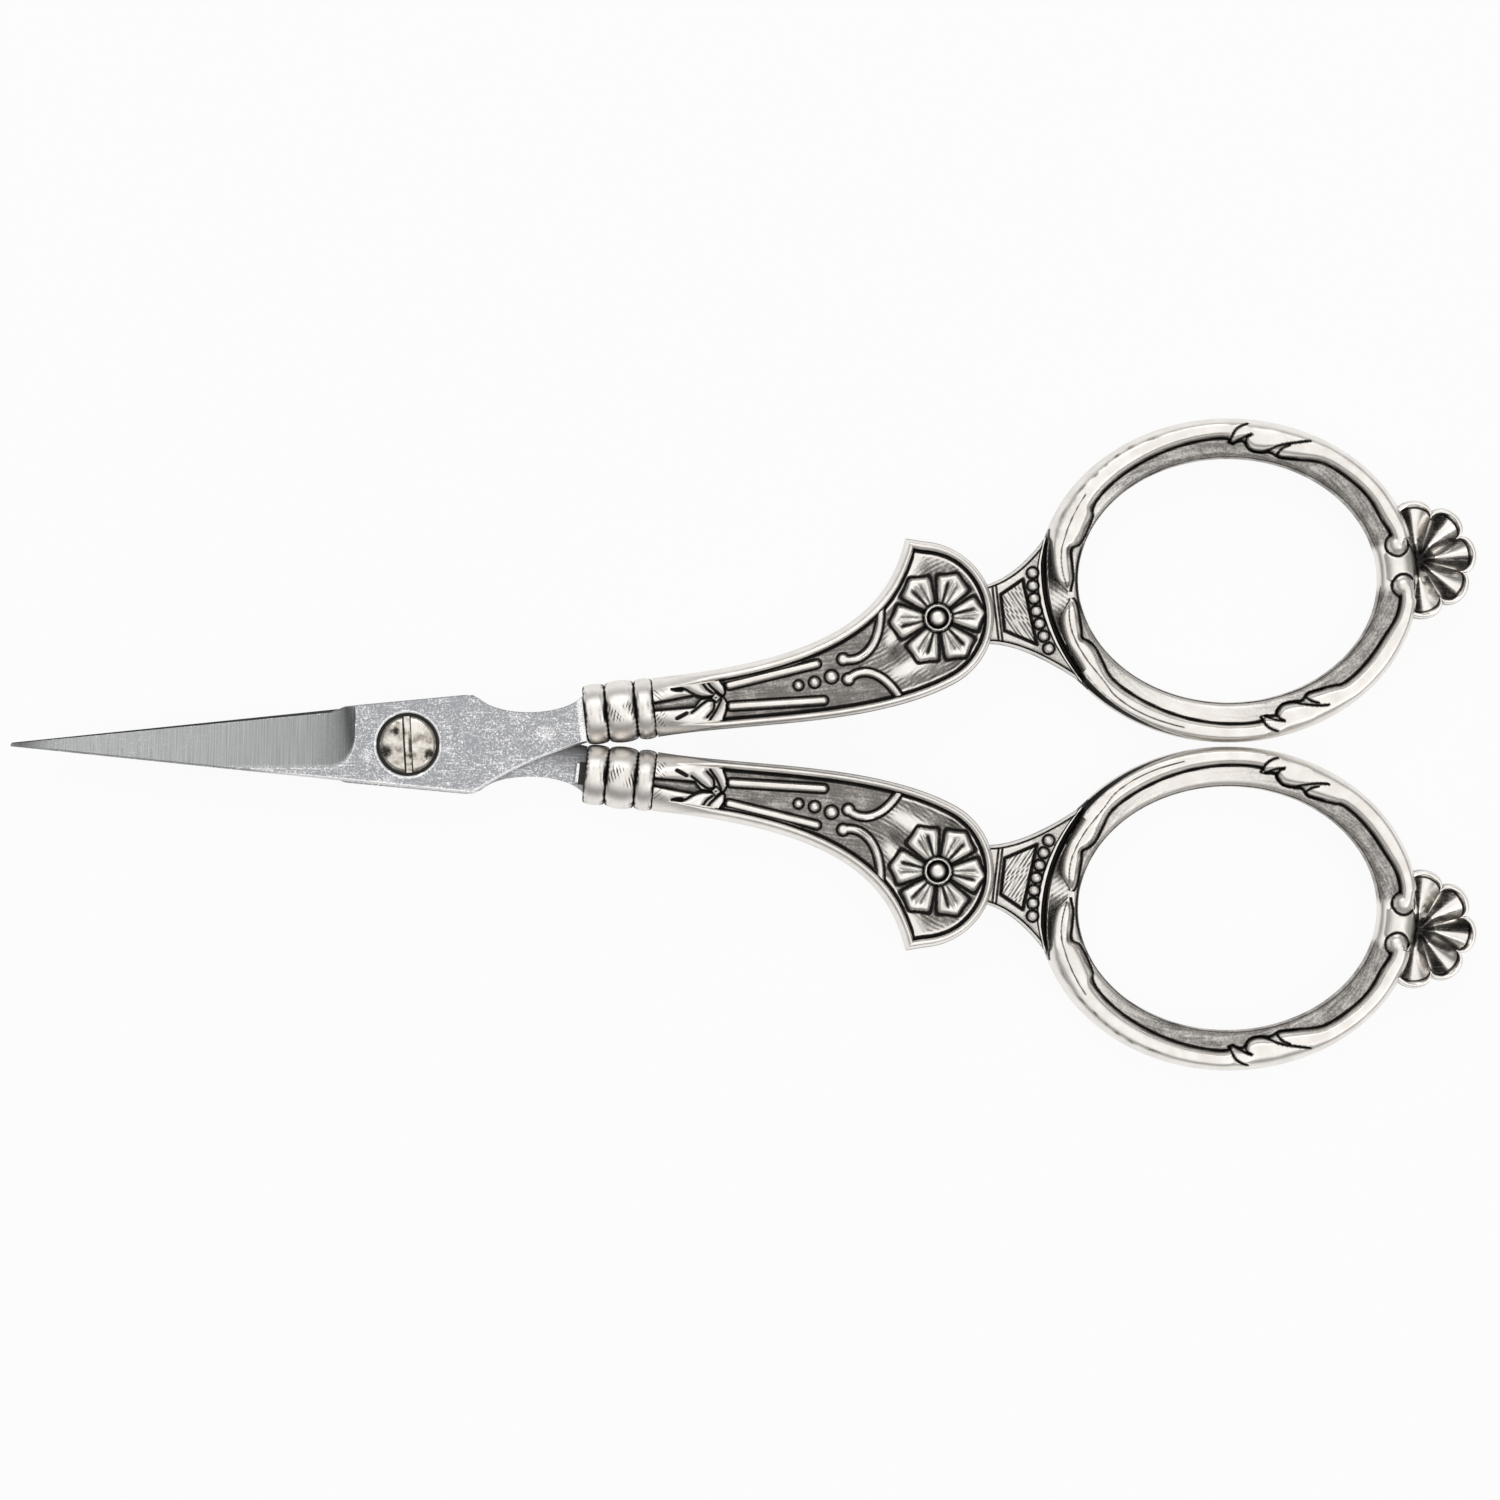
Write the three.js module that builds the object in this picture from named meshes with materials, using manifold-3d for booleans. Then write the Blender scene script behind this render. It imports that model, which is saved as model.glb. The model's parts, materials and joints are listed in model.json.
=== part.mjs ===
// Embroidery scissors: two stamped steel blades on a slotted pivot screw, each blade set by its tang
// through a turned ferrule into a cast handle with an oval finger bow and a fluted shell at its end.
//
// The scissors are drawn closed, in millimetres, with the pivot axis on Z at the drawing origin, the
// points towards -X and the blades meeting on the plane z = 0. The front half has its handle on the
// +Y side. The rear half is the same half turned over about the X axis. The finished pair lies flat
// on z = 0 with the middle of its footprint at the origin.
import * as THREE from "three";
import { mergeVertices } from "three/addons/utils/BufferGeometryUtils.js";
import Module from "manifold-3d";

const wasm = await Module();
wasm.setup();

function flat(x, y) {
  return new THREE.Vector2(x, y);
}

// Blade. Reaches are measured from the pivot axis along the scissors, heights from the centre line.
const bladeThickness = 1.4;
const bladeGap = 0.1; // air between the two inner faces
const tipReach = 31.8;
const tipDrop = 0.04; // the point lies past the centre line, on the spine's side
const tipWidth = 0.22;
const edgeEndReach = 6.3; // where the cutting edge stops
const edgeEndHeight = 2.55;
const choilLength = 1.2; // small step from the cutting edge up to the full width
const choilHeight = 0.5;
const heelReach = 5.1; // square heel on the handle's side of the pivot
const heelHalfWidth = 3.95;
const heelRound = 0.6;
const waistControl = 2.19; // height and reach of the controls of the hollow between heel and shoulder
const waistPull = 1.58;
const heelSweep = 1; // depth of the hollow edge that runs from the heel to the other side
const shoulderGap = 0.15; // air between the blade's shoulder and the ferrule
const shoulderRise = 1.5; // the shoulder's corners above and below the ferrule's axis
const shoulderFall = 2.2;

// Bevel ground on the outer face of each blade.
const bevelStop = 4.2; // reach where the grinding stops
const bevelRunout = 1.1; // length over which the wheel leaves the steel
const bevelFoot = 1.88; // lower border of the bevel below the centre line
const bevelFootRise = 1.2; // how far the border turns up along the runout
const edgeThickness = 0.25;
const tipThickness = 0.5;
const runoutClear = 0.06; // share of the depth by which the wheel ends clear of the face

// Pivot screw.
const screwRadius = 1.5;
const screwClearance = 0.05;
const screwChamfer = 0.15;
const headRadius = 2.38;
const headClearance = 0.22; // ring of air round the sunk head
const headSeatDepth = 0.75;
const headSeatGap = 0.05;
const headCrown = 0.3; // middle of the head above the blade's outer face
const slotWidth = 0.65;
const slotDepth = 0.55;
const slotTurn = 3; // degrees from square across the blades

// Tang: the bar at the end of the blade, set through the ferrule into the handle.
const tangWidth = 1.8;
const tangThickness = 0.9;
const tangLength = 9.5; // from the ferrule's mouth
const tangRoot = 2; // length that grows out of the blade in front of the shoulder
const fitClearance = 0.1;

// Ferrule: a turned collar of two beads and a barrel, on an axis that splays from the centre line.
const ferruleReach = 14.1;
const gripTilt = 6.2; // degrees
const handleGap = 0.34; // air between the closed handles
const cupRadius = 1.65; // hollow in the ferrule's mouth
const cupDepth = 0.55;
const webDepth = 1.9; // mouth to the back of the slotted web
const mouthRadius = 1.95;
const grooveRadius = 2.05;
const frontBeadWidth = 1.75;
const frontBeadRadius = 2.2;
const barrelWidth = 2.35;
const barrelRadius = 2.5;
const rearBeadWidth = 1.5;
const rearBeadRadius = 2.45;

// Shank of the handle. Places are measured from the ferrule's mouth along and across its axis.
const spigotRadius = 1.5; // stub that fills the ferrule
const shankHalfThickness = 2.6;
const shankRootHalfWidth = 2.35;
const rootRadius = 2.42; // the turned root that grows into the flat shank
const rootLength = 9.3;
const rootFlareRadius = 4.2;
const lowerPull = 7.2; // controls of the lower edge, from both of its ends
const lowerRise = 0.4;
const upperPull = 11.5; // controls of the upper edge, from the root and from the hook
const hookPull = 2.4;
const hookPullDrop = 0.8;
const edgeRound = 0.55; // width and height of the rounding along the slab's edges
const edgeRoundHeight = 1.5;
const discReach = 27.3;
const discHeight = 4.9;
const discRadius = 6.05;
const discStart = -68; // degrees on the disc where the lower edge runs into it
const discEnd = 80; // degrees on the disc where the straight to the hook leaves it
const hookBack = 0.33; // hooked corner from the disc's centre
const hookHeight = 6.35;
const rimWidth = 0.85; // border round the sunk panel
const panelReach = 11.6; // square end of the panel
const panelDepth = 0.5;

// Ornament on the panel: a rosette, two bars, three beads and two scrolls with round ends.
const rosetteShift = 1.5; // from the disc's centre along the shank
const petalCount = 6;
const petalRoot = 1; // radius where the petals start
const petalRootHalfWidth = 0.43;
const petalCorner = 3.1; // reach of the two corners where they are widest
const petalHalfWidth = 1.38;
const petalTip = 3.88;
const petalHeight = 0.42;
const bossRadius = 0.85;
const ridgeHeight = 0.38;
const ridgeRound = 0.14; // how far bars and scrolls narrow towards their tops
const barHalfWidth = 0.3;
const bars = [
  [flat(11.4, 1.18), flat(19, 2.26)],
  [flat(11.4, -0.52), flat(19.3, -0.9)],
];
const beads = [
  { place: flat(19.91, 1.06), radius: 0.47 },
  { place: flat(18.59, 0.8), radius: 0.39 },
  { place: flat(17.21, 0.63), radius: 0.33 },
];
const scrollHalfWidth = 0.27;
const scrollEndRadius = 0.42;
const scrolls = [
  [flat(24.45, 6), flat(24.4, 3), flat(22.6, 1.75), flat(21.1, 2.15)], // start, two controls and end
  [flat(25.1, -1.1), flat(24.3, 1.2), flat(22.3, 1.7), flat(21.25, 0.75)],
];

// Finger bow, the neck that carries it and the shell at its end.
const bowReach = 65.5;
const bowHalfLength = 12; // finger hole
const bowHalfWidth = 9.75;
const bowBand = 3.2; // width of the band seen from above
const bowHalfThickness = 2;
const innerBand = 1.2; // low band along the hole, beside the round moulding
const innerBandHalfThickness = 1.35;
const innerRound = 0.48; // rounding of the low band towards the hole
const innerRoundDrop = 0.13;
const innerEdgeHalfHeight = 0.67;
const neckHalfWidth = 2.3;
const neckDrop = 0.45; // from the line between the centres of disc and bow
const neckStart = 4.75; // from the disc's centre, where the neck's sides start to spread
const neckBend = 7.75; // and the control of their curve
const neckMeetHigh = 16.5; // degrees on the bow, from its middle, where the neck runs into it
const neckMeetLow = 36.5;
const neckHalfThickness = 1.7;
const wedgeDepth = 0.2; // sunk field on the neck
const wedge = [flat(0.16, -1.9), flat(0.82, -3.3), flat(0.69, 2), flat(0.16, 1)]; // share of the neck, height
const neckBeadCount = 7;
const neckBeadRadius = 0.38;
const neckBeadHeight = 0.28;
const neckBeadGap = 0.53; // from the bow's outer edge to the middle of the row
const neckBeadStart = 2.2; // degrees on the bow, from its middle, of the topmost bead
const neckBeadPitch = 4.14; // degrees
const shellLobes = 5;
const shellLobeAngle = 46; // degrees between lobes
const shellRadius = 4.7;
const shellNotchRadius = 3.95;
const shellHalfThickness = 1.25;
const shellRim = 0.45;
const fluteHalfWidth = 0.85;
const fluteDepth = 0.75;

// Number of steps on curves, turned faces and the bow.
const curveSteps = 14;
const turnSteps = 24;
const beadSteps = 4;
const mouldingSteps = 8;
const bowSteps = 48;
const lobeSteps = 6;
const scrollSteps = 6;
const domeSteps = 8;
const roundSteps = 3;
const runoutSteps = 4;

const weld = 1e-3; // points closer than this are one point
const { degToRad } = THREE.MathUtils;
const origin = flat(0, 0);

// A closed geometry as a solid that can be joined and cut.
function solid(geometry) {
  const bare = new THREE.BufferGeometry();
  bare.setAttribute("position", geometry.getAttribute("position"));
  bare.setIndex(geometry.getIndex());
  const merged = mergeVertices(bare, weld);
  const corners = merged.getIndex().array;
  const triangles = [];
  for (let i = 0; i < corners.length; i += 3) {
    const [a, b, c] = corners.slice(i, i + 3);
    if (a !== b && b !== c && c !== a) {
      triangles.push(a, b, c);
    }
  }
  const mesh = new wasm.Mesh({
    numProp: 3,
    vertProperties: merged.getAttribute("position").array,
    triVerts: new Uint32Array(triangles),
  });
  return new wasm.Manifold(mesh);
}

const join = (bodies) => bodies.reduce((sum, body) => sum.add(body));
const cut = (body, cutters) => cutters.reduce((rest, cutter) => rest.subtract(cutter), body);

// A body skinned over outlines with the same number of points. place(point, i) puts a point of
// outline i in space. Outlines run anticlockwise seen from where the stack grows to.
function loft(outlines, place) {
  const count = outlines[0].length;
  const positions = outlines.flatMap((outline, i) =>
    outline.flatMap((point) => place(point, i).toArray()),
  );
  const index = [];
  for (let i = 0; i + 1 < outlines.length; i += 1) {
    for (let j = 0; j < count; j += 1) {
      const a = i * count + j;
      const b = i * count + ((j + 1) % count);
      index.push(a, b, b + count, a, b + count, a + count);
    }
  }
  const last = (outlines.length - 1) * count;
  for (const [a, b, c] of THREE.ShapeUtils.triangulateShape(outlines[0], [])) {
    index.push(a, c, b, last + a, last + b, last + c);
  }
  const geometry = new THREE.BufferGeometry();
  geometry.setAttribute("position", new THREE.Float32BufferAttribute(positions, 3));
  geometry.setIndex(index);
  return solid(geometry);
}

function prism(outline, low, high) {
  return loft([outline, outline], (point, i) => new THREE.Vector3(point.x, point.y, i ? high : low));
}

// The same prism on both faces of a body that is symmetrical about z = 0.
function prismsOnBothFaces(outline, low, high) {
  return [prism(outline, low, high), prism(outline, -high, -low)];
}

// A ridge that narrows to its top, standing on both faces of such a body.
function ridgesOnBothFaces(outline, floor) {
  const top = inset(outline, ridgeRound);
  const stacked = (outlines, middle) =>
    loft(outlines, (point, i) => new THREE.Vector3(point.x, point.y, middle + (i - 1) * ridgeHeight));
  return [stacked([outline, outline, top], floor), stacked([top, outline, outline], -floor)];
}

// A dome on both faces of such a body.
function domesOnBothFaces({ x, y }, radius, floor, height) {
  return [-1, 1].map((way) => {
    const dome = new THREE.SphereGeometry(radius, domeSteps, domeSteps / 2);
    dome.rotateX(Math.PI / 2).scale(1, 1, height / radius).translate(x, y, way * floor);
    return solid(dome);
  });
}

// The outline of a band of even width along a path.
function strip(path, halfWidth) {
  const side = (way) =>
    path.map((point, i) => {
      const before = path[Math.max(i - 1, 0)];
      const after = path[Math.min(i + 1, path.length - 1)];
      const along = after.clone().sub(before).normalize();
      return point.clone().add(flat(-along.y, along.x).multiplyScalar(way * halfWidth));
    });
  return [...side(-1), ...side(1).reverse()];
}

function box(lowX, highX, halfWidth, lowZ, highZ) {
  const geometry = new THREE.BoxGeometry(highX - lowX, 2 * halfWidth, highZ - lowZ);
  geometry.translate((lowX + highX) / 2, 0, (lowZ + highZ) / 2);
  return solid(geometry);
}

// A turned body on the Z axis, from a profile of radius and height that runs upwards.
function turned(profile) {
  return solid(new THREE.LatheGeometry(profile, turnSteps).rotateX(Math.PI / 2));
}

// A turned body on the X axis.
function turnedAlong(profile) {
  return solid(new THREE.LatheGeometry(profile, turnSteps).rotateZ(-Math.PI / 2));
}

const cylinder = (radius, low, high) =>
  turned([flat(0, low), flat(radius, low), flat(radius, high), flat(0, high)]);

// An outline moved inwards, each corner along its bisector.
function inset(outline, distance) {
  const count = outline.length;
  return outline.map((point, i) => {
    const incoming = point.clone().sub(outline[(i + count - 1) % count]).normalize();
    const outgoing = outline[(i + 1) % count].clone().sub(point).normalize();
    const inward = flat(-incoming.y - outgoing.y, incoming.x + outgoing.x).normalize();
    const share = inward.dot(flat(-incoming.y, incoming.x));
    return point.clone().addScaledVector(inward, distance / share);
  });
}

// A shape's anticlockwise outline without doubled points.
function outlineOf(shape, steps) {
  const points = shape.getPoints(steps);
  const single = points.filter((point, i) => point.distanceTo(points[(i + 1) % points.length]) > weld);
  return THREE.ShapeUtils.isClockWise(single) ? single.reverse() : single;
}

function mesh(name, body, finish) {
  const { vertProperties, triVerts } = body.getMesh();
  const geometry = new THREE.BufferGeometry();
  geometry.setAttribute("position", new THREE.BufferAttribute(vertProperties, 3));
  geometry.setIndex(new THREE.BufferAttribute(triVerts, 1));
  geometry.computeVertexNormals();
  const piece = new THREE.Mesh(geometry, new THREE.MeshStandardMaterial(finish));
  piece.name = name;
  return piece;
}

// The three bands of the ferrule, from its mouth.
const ferruleLength = frontBeadWidth + barrelWidth + rearBeadWidth;
const bands = [
  { start: 0, width: frontBeadWidth, edge: mouthRadius, crest: frontBeadRadius },
  { start: frontBeadWidth, width: barrelWidth, edge: grooveRadius, crest: barrelRadius },
  { start: frontBeadWidth + barrelWidth, width: rearBeadWidth, edge: grooveRadius, crest: rearBeadRadius },
];

// The grip's frame has its origin in the ferrule's mouth and X along its axis. It is lifted until the
// ferrule clears the other half by half the handle gap.
const tilt = degToRad(gripTilt);
const bandDrops = bands.map(
  ({ start, width, crest }) => crest * Math.cos(tilt) - (start + width / 2) * Math.sin(tilt),
);
const ferruleHeight = handleGap / 2 + Math.max(...bandDrops);
const gripFrame = new THREE.Matrix4().makeRotationZ(tilt).setPosition(ferruleReach, ferruleHeight, 0);
const fromGrip = (x, y) => new THREE.Vector3(x, y, 0).applyMatrix4(gripFrame);
const toGrip = (x, y) => new THREE.Vector3(x, y, 0).applyMatrix4(gripFrame.clone().invert());

const bladeInner = bladeGap / 2;
const bladeOuter = bladeInner + bladeThickness;

// The spine and the cutting edge are straight lines from the point.
const spineSlope = (heelHalfWidth - tipDrop - tipWidth / 2) / (tipReach + heelReach);
const edgeSlope = (edgeEndHeight + tipDrop - tipWidth / 2) / (tipReach - edgeEndReach);
const spineAt = (x) => -tipDrop - tipWidth / 2 - spineSlope * (x + tipReach);
const edgeAt = (x) => -tipDrop + tipWidth / 2 + edgeSlope * (x + tipReach);

function bladeOutline() {
  const shoulderLow = fromGrip(-shoulderGap, -shoulderFall);
  const shoulderHigh = fromGrip(-shoulderGap, shoulderRise);
  const heelCorner = flat(heelReach + heelRound, heelHalfWidth - heelRound / 2);
  const shape = new THREE.Shape();
  shape.moveTo(-tipReach, spineAt(-tipReach));
  shape.lineTo(heelReach, -heelHalfWidth);
  shape.quadraticCurveTo((heelReach + shoulderLow.x) / 2, -heelSweep, shoulderLow.x, shoulderLow.y);
  shape.lineTo(shoulderHigh.x, shoulderHigh.y);
  shape.bezierCurveTo(
    shoulderHigh.x - waistPull,
    waistControl,
    heelCorner.x + waistPull,
    waistControl,
    heelCorner.x,
    heelCorner.y,
  );
  shape.quadraticCurveTo(heelReach, heelHalfWidth, heelReach - heelRound, heelHalfWidth);
  shape.lineTo(choilLength - edgeEndReach, edgeEndHeight + choilHeight);
  shape.lineTo(-edgeEndReach, edgeEndHeight);
  shape.lineTo(-tipReach, edgeAt(-tipReach));
  return outlineOf(shape, curveSteps);
}

// What the grinding wheel takes off the outer face: a wedge that is deepest at the cutting edge. It
// thins the whole blade towards the point and runs out in a quarter round before the pivot.
function bevelCutter() {
  const past = 1; // the cutter stands this far past the blade on every side
  const footMeetsSpine = (bevelFoot - tipDrop - tipWidth / 2) / spineSlope - tipReach;
  const runoutStart = -bevelStop - bevelRunout;
  const depth = bladeThickness - edgeThickness;
  const stations = [
    { x: -tipReach - past, foot: spineAt(-tipReach), footCut: bladeThickness - tipThickness, edgeCut: depth },
    { x: footMeetsSpine, foot: -bevelFoot, footCut: 0, edgeCut: depth },
  ];
  for (let i = 0; i <= runoutSteps; i += 1) {
    const turn = ((Math.PI / 2) * i) / runoutSteps;
    stations.push({
      x: runoutStart + bevelRunout * Math.sin(turn),
      foot: -bevelFoot + bevelFootRise * (1 - Math.cos(turn)),
      footCut: 0,
      edgeCut: depth * (Math.cos(turn) - runoutClear * Math.sin(turn)),
    });
  }
  const outlines = stations.map(({ x, foot, footCut, edgeCut }) => {
    const edge = edgeAt(x);
    const fall = (edgeCut - footCut) / (edge - foot);
    return [
      flat(foot - past, bladeOuter + past),
      flat(foot, bladeOuter - footCut),
      flat(edge + past, bladeOuter - edgeCut - fall * past),
      flat(edge + past, bladeOuter + 2 * past),
      flat(foot - past, bladeOuter + 2 * past),
    ];
  });
  return loft(outlines, (point, i) => new THREE.Vector3(stations[i].x, point.x, point.y));
}

// The tang starts flush with the blade's inner face and is set over to the middle of the ferrule.
function tang() {
  const half = tangThickness / 2;
  const side = [
    flat(-tangRoot, bladeInner),
    flat(-shoulderGap, -half),
    flat(tangLength - half, -half),
    flat(tangLength, 0),
    flat(tangLength - half, half),
    flat(-tangRoot, bladeInner + half),
  ];
  const geometry = new THREE.ExtrudeGeometry(new THREE.Shape(side), {
    depth: tangWidth,
    bevelEnabled: false,
  });
  geometry.rotateX(Math.PI / 2).translate(0, tangWidth / 2, 0).applyMatrix4(gripFrame);
  return solid(geometry);
}

function bladeBlank() {
  const plate = prism(bladeOutline(), bladeInner, bladeOuter);
  return cut(plate.add(tang()), [
    bevelCutter(),
    cylinder(screwRadius + screwClearance, bladeInner - bladeGap, bladeOuter + bladeGap),
  ]);
}

function counterboredBlade() {
  const seat = cylinder(headRadius + headClearance, bladeOuter - headSeatDepth, bladeOuter + headCrown);
  return bladeBlank().subtract(seat);
}

// The screw's end is flush with the rear blade's outer face.
function pivotScrew() {
  const seat = bladeOuter - headSeatDepth + headSeatGap;
  const top = bladeOuter + headCrown;
  const body = turned([
    flat(0, -bladeOuter),
    flat(screwRadius - screwChamfer, -bladeOuter),
    flat(screwRadius, -bladeOuter + screwChamfer),
    flat(screwRadius, seat),
    flat(headRadius, seat),
    flat(headRadius, bladeOuter - headCrown),
    flat(headRadius - headCrown, bladeOuter),
    flat(headRadius / 2, top - headCrown / 4),
    flat(0, top),
  ]);
  const slot = new THREE.BoxGeometry(slotWidth, 2 * (headRadius + headClearance), 2 * slotDepth);
  slot.rotateZ(degToRad(slotTurn)).translate(0, 0, top);
  return body.subtract(solid(slot));
}

// Slot for the tang through the ferrule's web and deep into the handle.
function tangSocket() {
  const half = tangThickness / 2 + fitClearance;
  return box(-fitClearance, tangLength + fitClearance, tangWidth / 2 + fitClearance, -half, half);
}

function ferrule() {
  const profile = [flat(0, cupDepth), flat(cupRadius, cupDepth), flat(cupRadius, 0)];
  for (const { start, width, edge, crest } of bands) {
    for (let i = 0; i <= beadSteps; i += 1) {
      const turn = (Math.PI * i) / beadSteps;
      const along = start + (width * (1 - Math.cos(turn))) / 2;
      profile.push(flat(edge + (crest - edge) * Math.sin(turn), along));
    }
  }
  const bore = spigotRadius + fitClearance;
  profile.push(flat(bore, ferruleLength), flat(bore, webDepth), flat(0, webDepth));
  const single = profile.filter((point, i) => !i || point.distanceTo(profile[i - 1]) > weld);
  return turnedAlong(single).subtract(tangSocket());
}

const shankStart = ferruleLength + fitClearance;
const panelFloor = shankHalfThickness - panelDepth;

function shankOutline() {
  const start = degToRad(discStart);
  const arcStart = flat(discReach + discRadius * Math.cos(start), discHeight + discRadius * Math.sin(start));
  const hook = flat(discReach - hookBack, discHeight + hookHeight);
  const shape = new THREE.Shape();
  shape.moveTo(shankStart, -shankRootHalfWidth);
  shape.bezierCurveTo(
    shankStart + lowerPull,
    lowerRise - shankRootHalfWidth,
    arcStart.x + lowerPull * Math.sin(start),
    arcStart.y - lowerPull * Math.cos(start),
    arcStart.x,
    arcStart.y,
  );
  shape.absarc(discReach, discHeight, discRadius, start, degToRad(discEnd), false);
  shape.lineTo(hook.x, hook.y);
  shape.bezierCurveTo(
    hook.x - hookPull,
    discHeight - hookPullDrop,
    shankStart + upperPull,
    shankRootHalfWidth,
    shankStart,
    shankRootHalfWidth,
  );
  return outlineOf(shape, curveSteps);
}

// The shank is a flat slab with rounded edges. Its root is turned down to meet the ferrule.
function shank() {
  const outline = shankOutline();
  const layers = [];
  for (let i = 0; i <= roundSteps; i += 1) {
    const turn = ((Math.PI / 2) * i) / roundSteps;
    layers.push({
      depth: edgeRound * (1 - Math.sin(turn)),
      height: shankHalfThickness - edgeRoundHeight * (1 - Math.cos(turn)),
    });
  }
  const stack = [
    ...layers.map(({ depth, height }) => ({ depth, height: -height })),
    ...layers.reverse(),
  ];
  const slab = loft(
    stack.map(({ depth }) => inset(outline, depth)),
    (point, i) => new THREE.Vector3(point.x, point.y, stack[i].height),
  );
  const clear = 2 * (discReach + discRadius);
  const rootEnd = shankStart + rootLength;
  const envelope = turnedAlong([
    flat(0, shankStart),
    flat(rootRadius, shankStart),
    flat(rootFlareRadius, rootEnd),
    flat(clear, rootEnd),
    flat(clear, clear),
    flat(0, clear),
  ]);
  const ends = box(panelReach, clear, clear, -clear, clear);
  const panels = prismsOnBothFaces(inset(outline, rimWidth), panelFloor, shankHalfThickness + panelDepth);
  return cut(slab.intersect(envelope), panels.map((panel) => panel.intersect(ends)));
}

// Six pointed petals round a domed boss, standing up from the floor of the panel.
function rosette() {
  const centre = flat(discReach + rosetteShift, discHeight);
  const petal = [
    flat(petalRoot, -petalRootHalfWidth),
    flat(petalCorner, -petalHalfWidth),
    flat(petalTip, 0),
    flat(petalCorner, petalHalfWidth),
    flat(petalRoot, petalRootHalfWidth),
  ];
  const parts = domesOnBothFaces(centre, bossRadius, panelFloor, petalHeight);
  for (let i = 0; i < petalCount; i += 1) {
    const turn = (2 * Math.PI * i) / petalCount;
    const outline = petal.map((point) => point.clone().rotateAround(origin, turn).add(centre));
    parts.push(...prismsOnBothFaces(outline, panelFloor - petalHeight, panelFloor + petalHeight));
  }
  return parts;
}

// Bars, beads and scrolls between the rosette and the root.
function panelRidges() {
  const parts = bars.flatMap((bar) => ridgesOnBothFaces(strip(bar, barHalfWidth), panelFloor));
  for (const { place, radius } of beads) {
    parts.push(...domesOnBothFaces(place, radius, panelFloor, ridgeHeight));
  }
  for (const controls of scrolls) {
    const path = new THREE.CubicBezierCurve(...controls).getPoints(scrollSteps);
    const end = controls[controls.length - 1];
    parts.push(...ridgesOnBothFaces(strip(path, scrollHalfWidth), panelFloor));
    parts.push(...domesOnBothFaces(end, scrollEndRadius, panelFloor, ridgeHeight));
  }
  return parts;
}

// The closed bows clear each other by the handle gap, and lie square to the scissors.
const bowCentre = toGrip(bowReach, handleGap / 2 + bowBand + bowHalfWidth);
const bowAxis = flat(bowCentre.x - discReach, bowCentre.y - discHeight);
const bowAxisAngle = bowAxis.angle();

// A point on the bow, at an angle round the finger hole and a distance out from its edge.
function bowPoint(turn, out) {
  const edge = flat(bowHalfLength * Math.cos(turn), bowHalfWidth * Math.sin(turn));
  const outward = flat(bowHalfWidth * Math.cos(turn), bowHalfLength * Math.sin(turn)).normalize();
  return edge.addScaledVector(outward, out).rotateAround(origin, -tilt).add(bowCentre);
}

// Section of the band: width outwards from the finger hole, and height.
function bowSection() {
  const mouldingHalf = (bowBand - innerBand) / 2;
  const middle = bowBand - mouldingHalf;
  const meet = Math.PI - Math.asin(innerBandHalfThickness / bowHalfThickness);
  const points = [];
  for (let i = 0; i <= mouldingSteps; i += 1) {
    const turn = meet * ((2 * i) / mouldingSteps - 1);
    points.push(flat(middle + mouldingHalf * Math.cos(turn), bowHalfThickness * Math.sin(turn)));
  }
  const shoulder = innerBandHalfThickness - innerRoundDrop;
  points.push(flat(innerRound, shoulder), flat(0, innerEdgeHalfHeight));
  points.push(flat(0, -innerEdgeHalfHeight), flat(innerRound, -shoulder));
  return points;
}

// The band is swept round the finger hole, square to the hole's edge.
function bow() {
  const section = bowSection();
  const count = section.length;
  const positions = [];
  const index = [];
  for (let i = 0; i < bowSteps; i += 1) {
    const ring = i * count;
    const nextRing = ((i + 1) % bowSteps) * count;
    for (let j = 0; j < count; j += 1) {
      const point = bowPoint((2 * Math.PI * i) / bowSteps, section[j].x);
      positions.push(point.x, point.y, section[j].y);
      const next = (j + 1) % count;
      index.push(ring + j, nextRing + j, nextRing + next, ring + j, nextRing + next, ring + next);
    }
  }
  const geometry = new THREE.BufferGeometry();
  geometry.setAttribute("position", new THREE.Float32BufferAttribute(positions, 3));
  geometry.setIndex(index);
  return solid(geometry);
}

// Everything inside the middle of the bow's band, as a prism.
function bowCore() {
  const outline = [];
  for (let i = 0; i < bowSteps; i += 1) {
    outline.push(bowPoint((2 * Math.PI * i) / bowSteps, bowBand / 2));
  }
  return prism(outline, -bowHalfThickness, bowHalfThickness);
}

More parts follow.
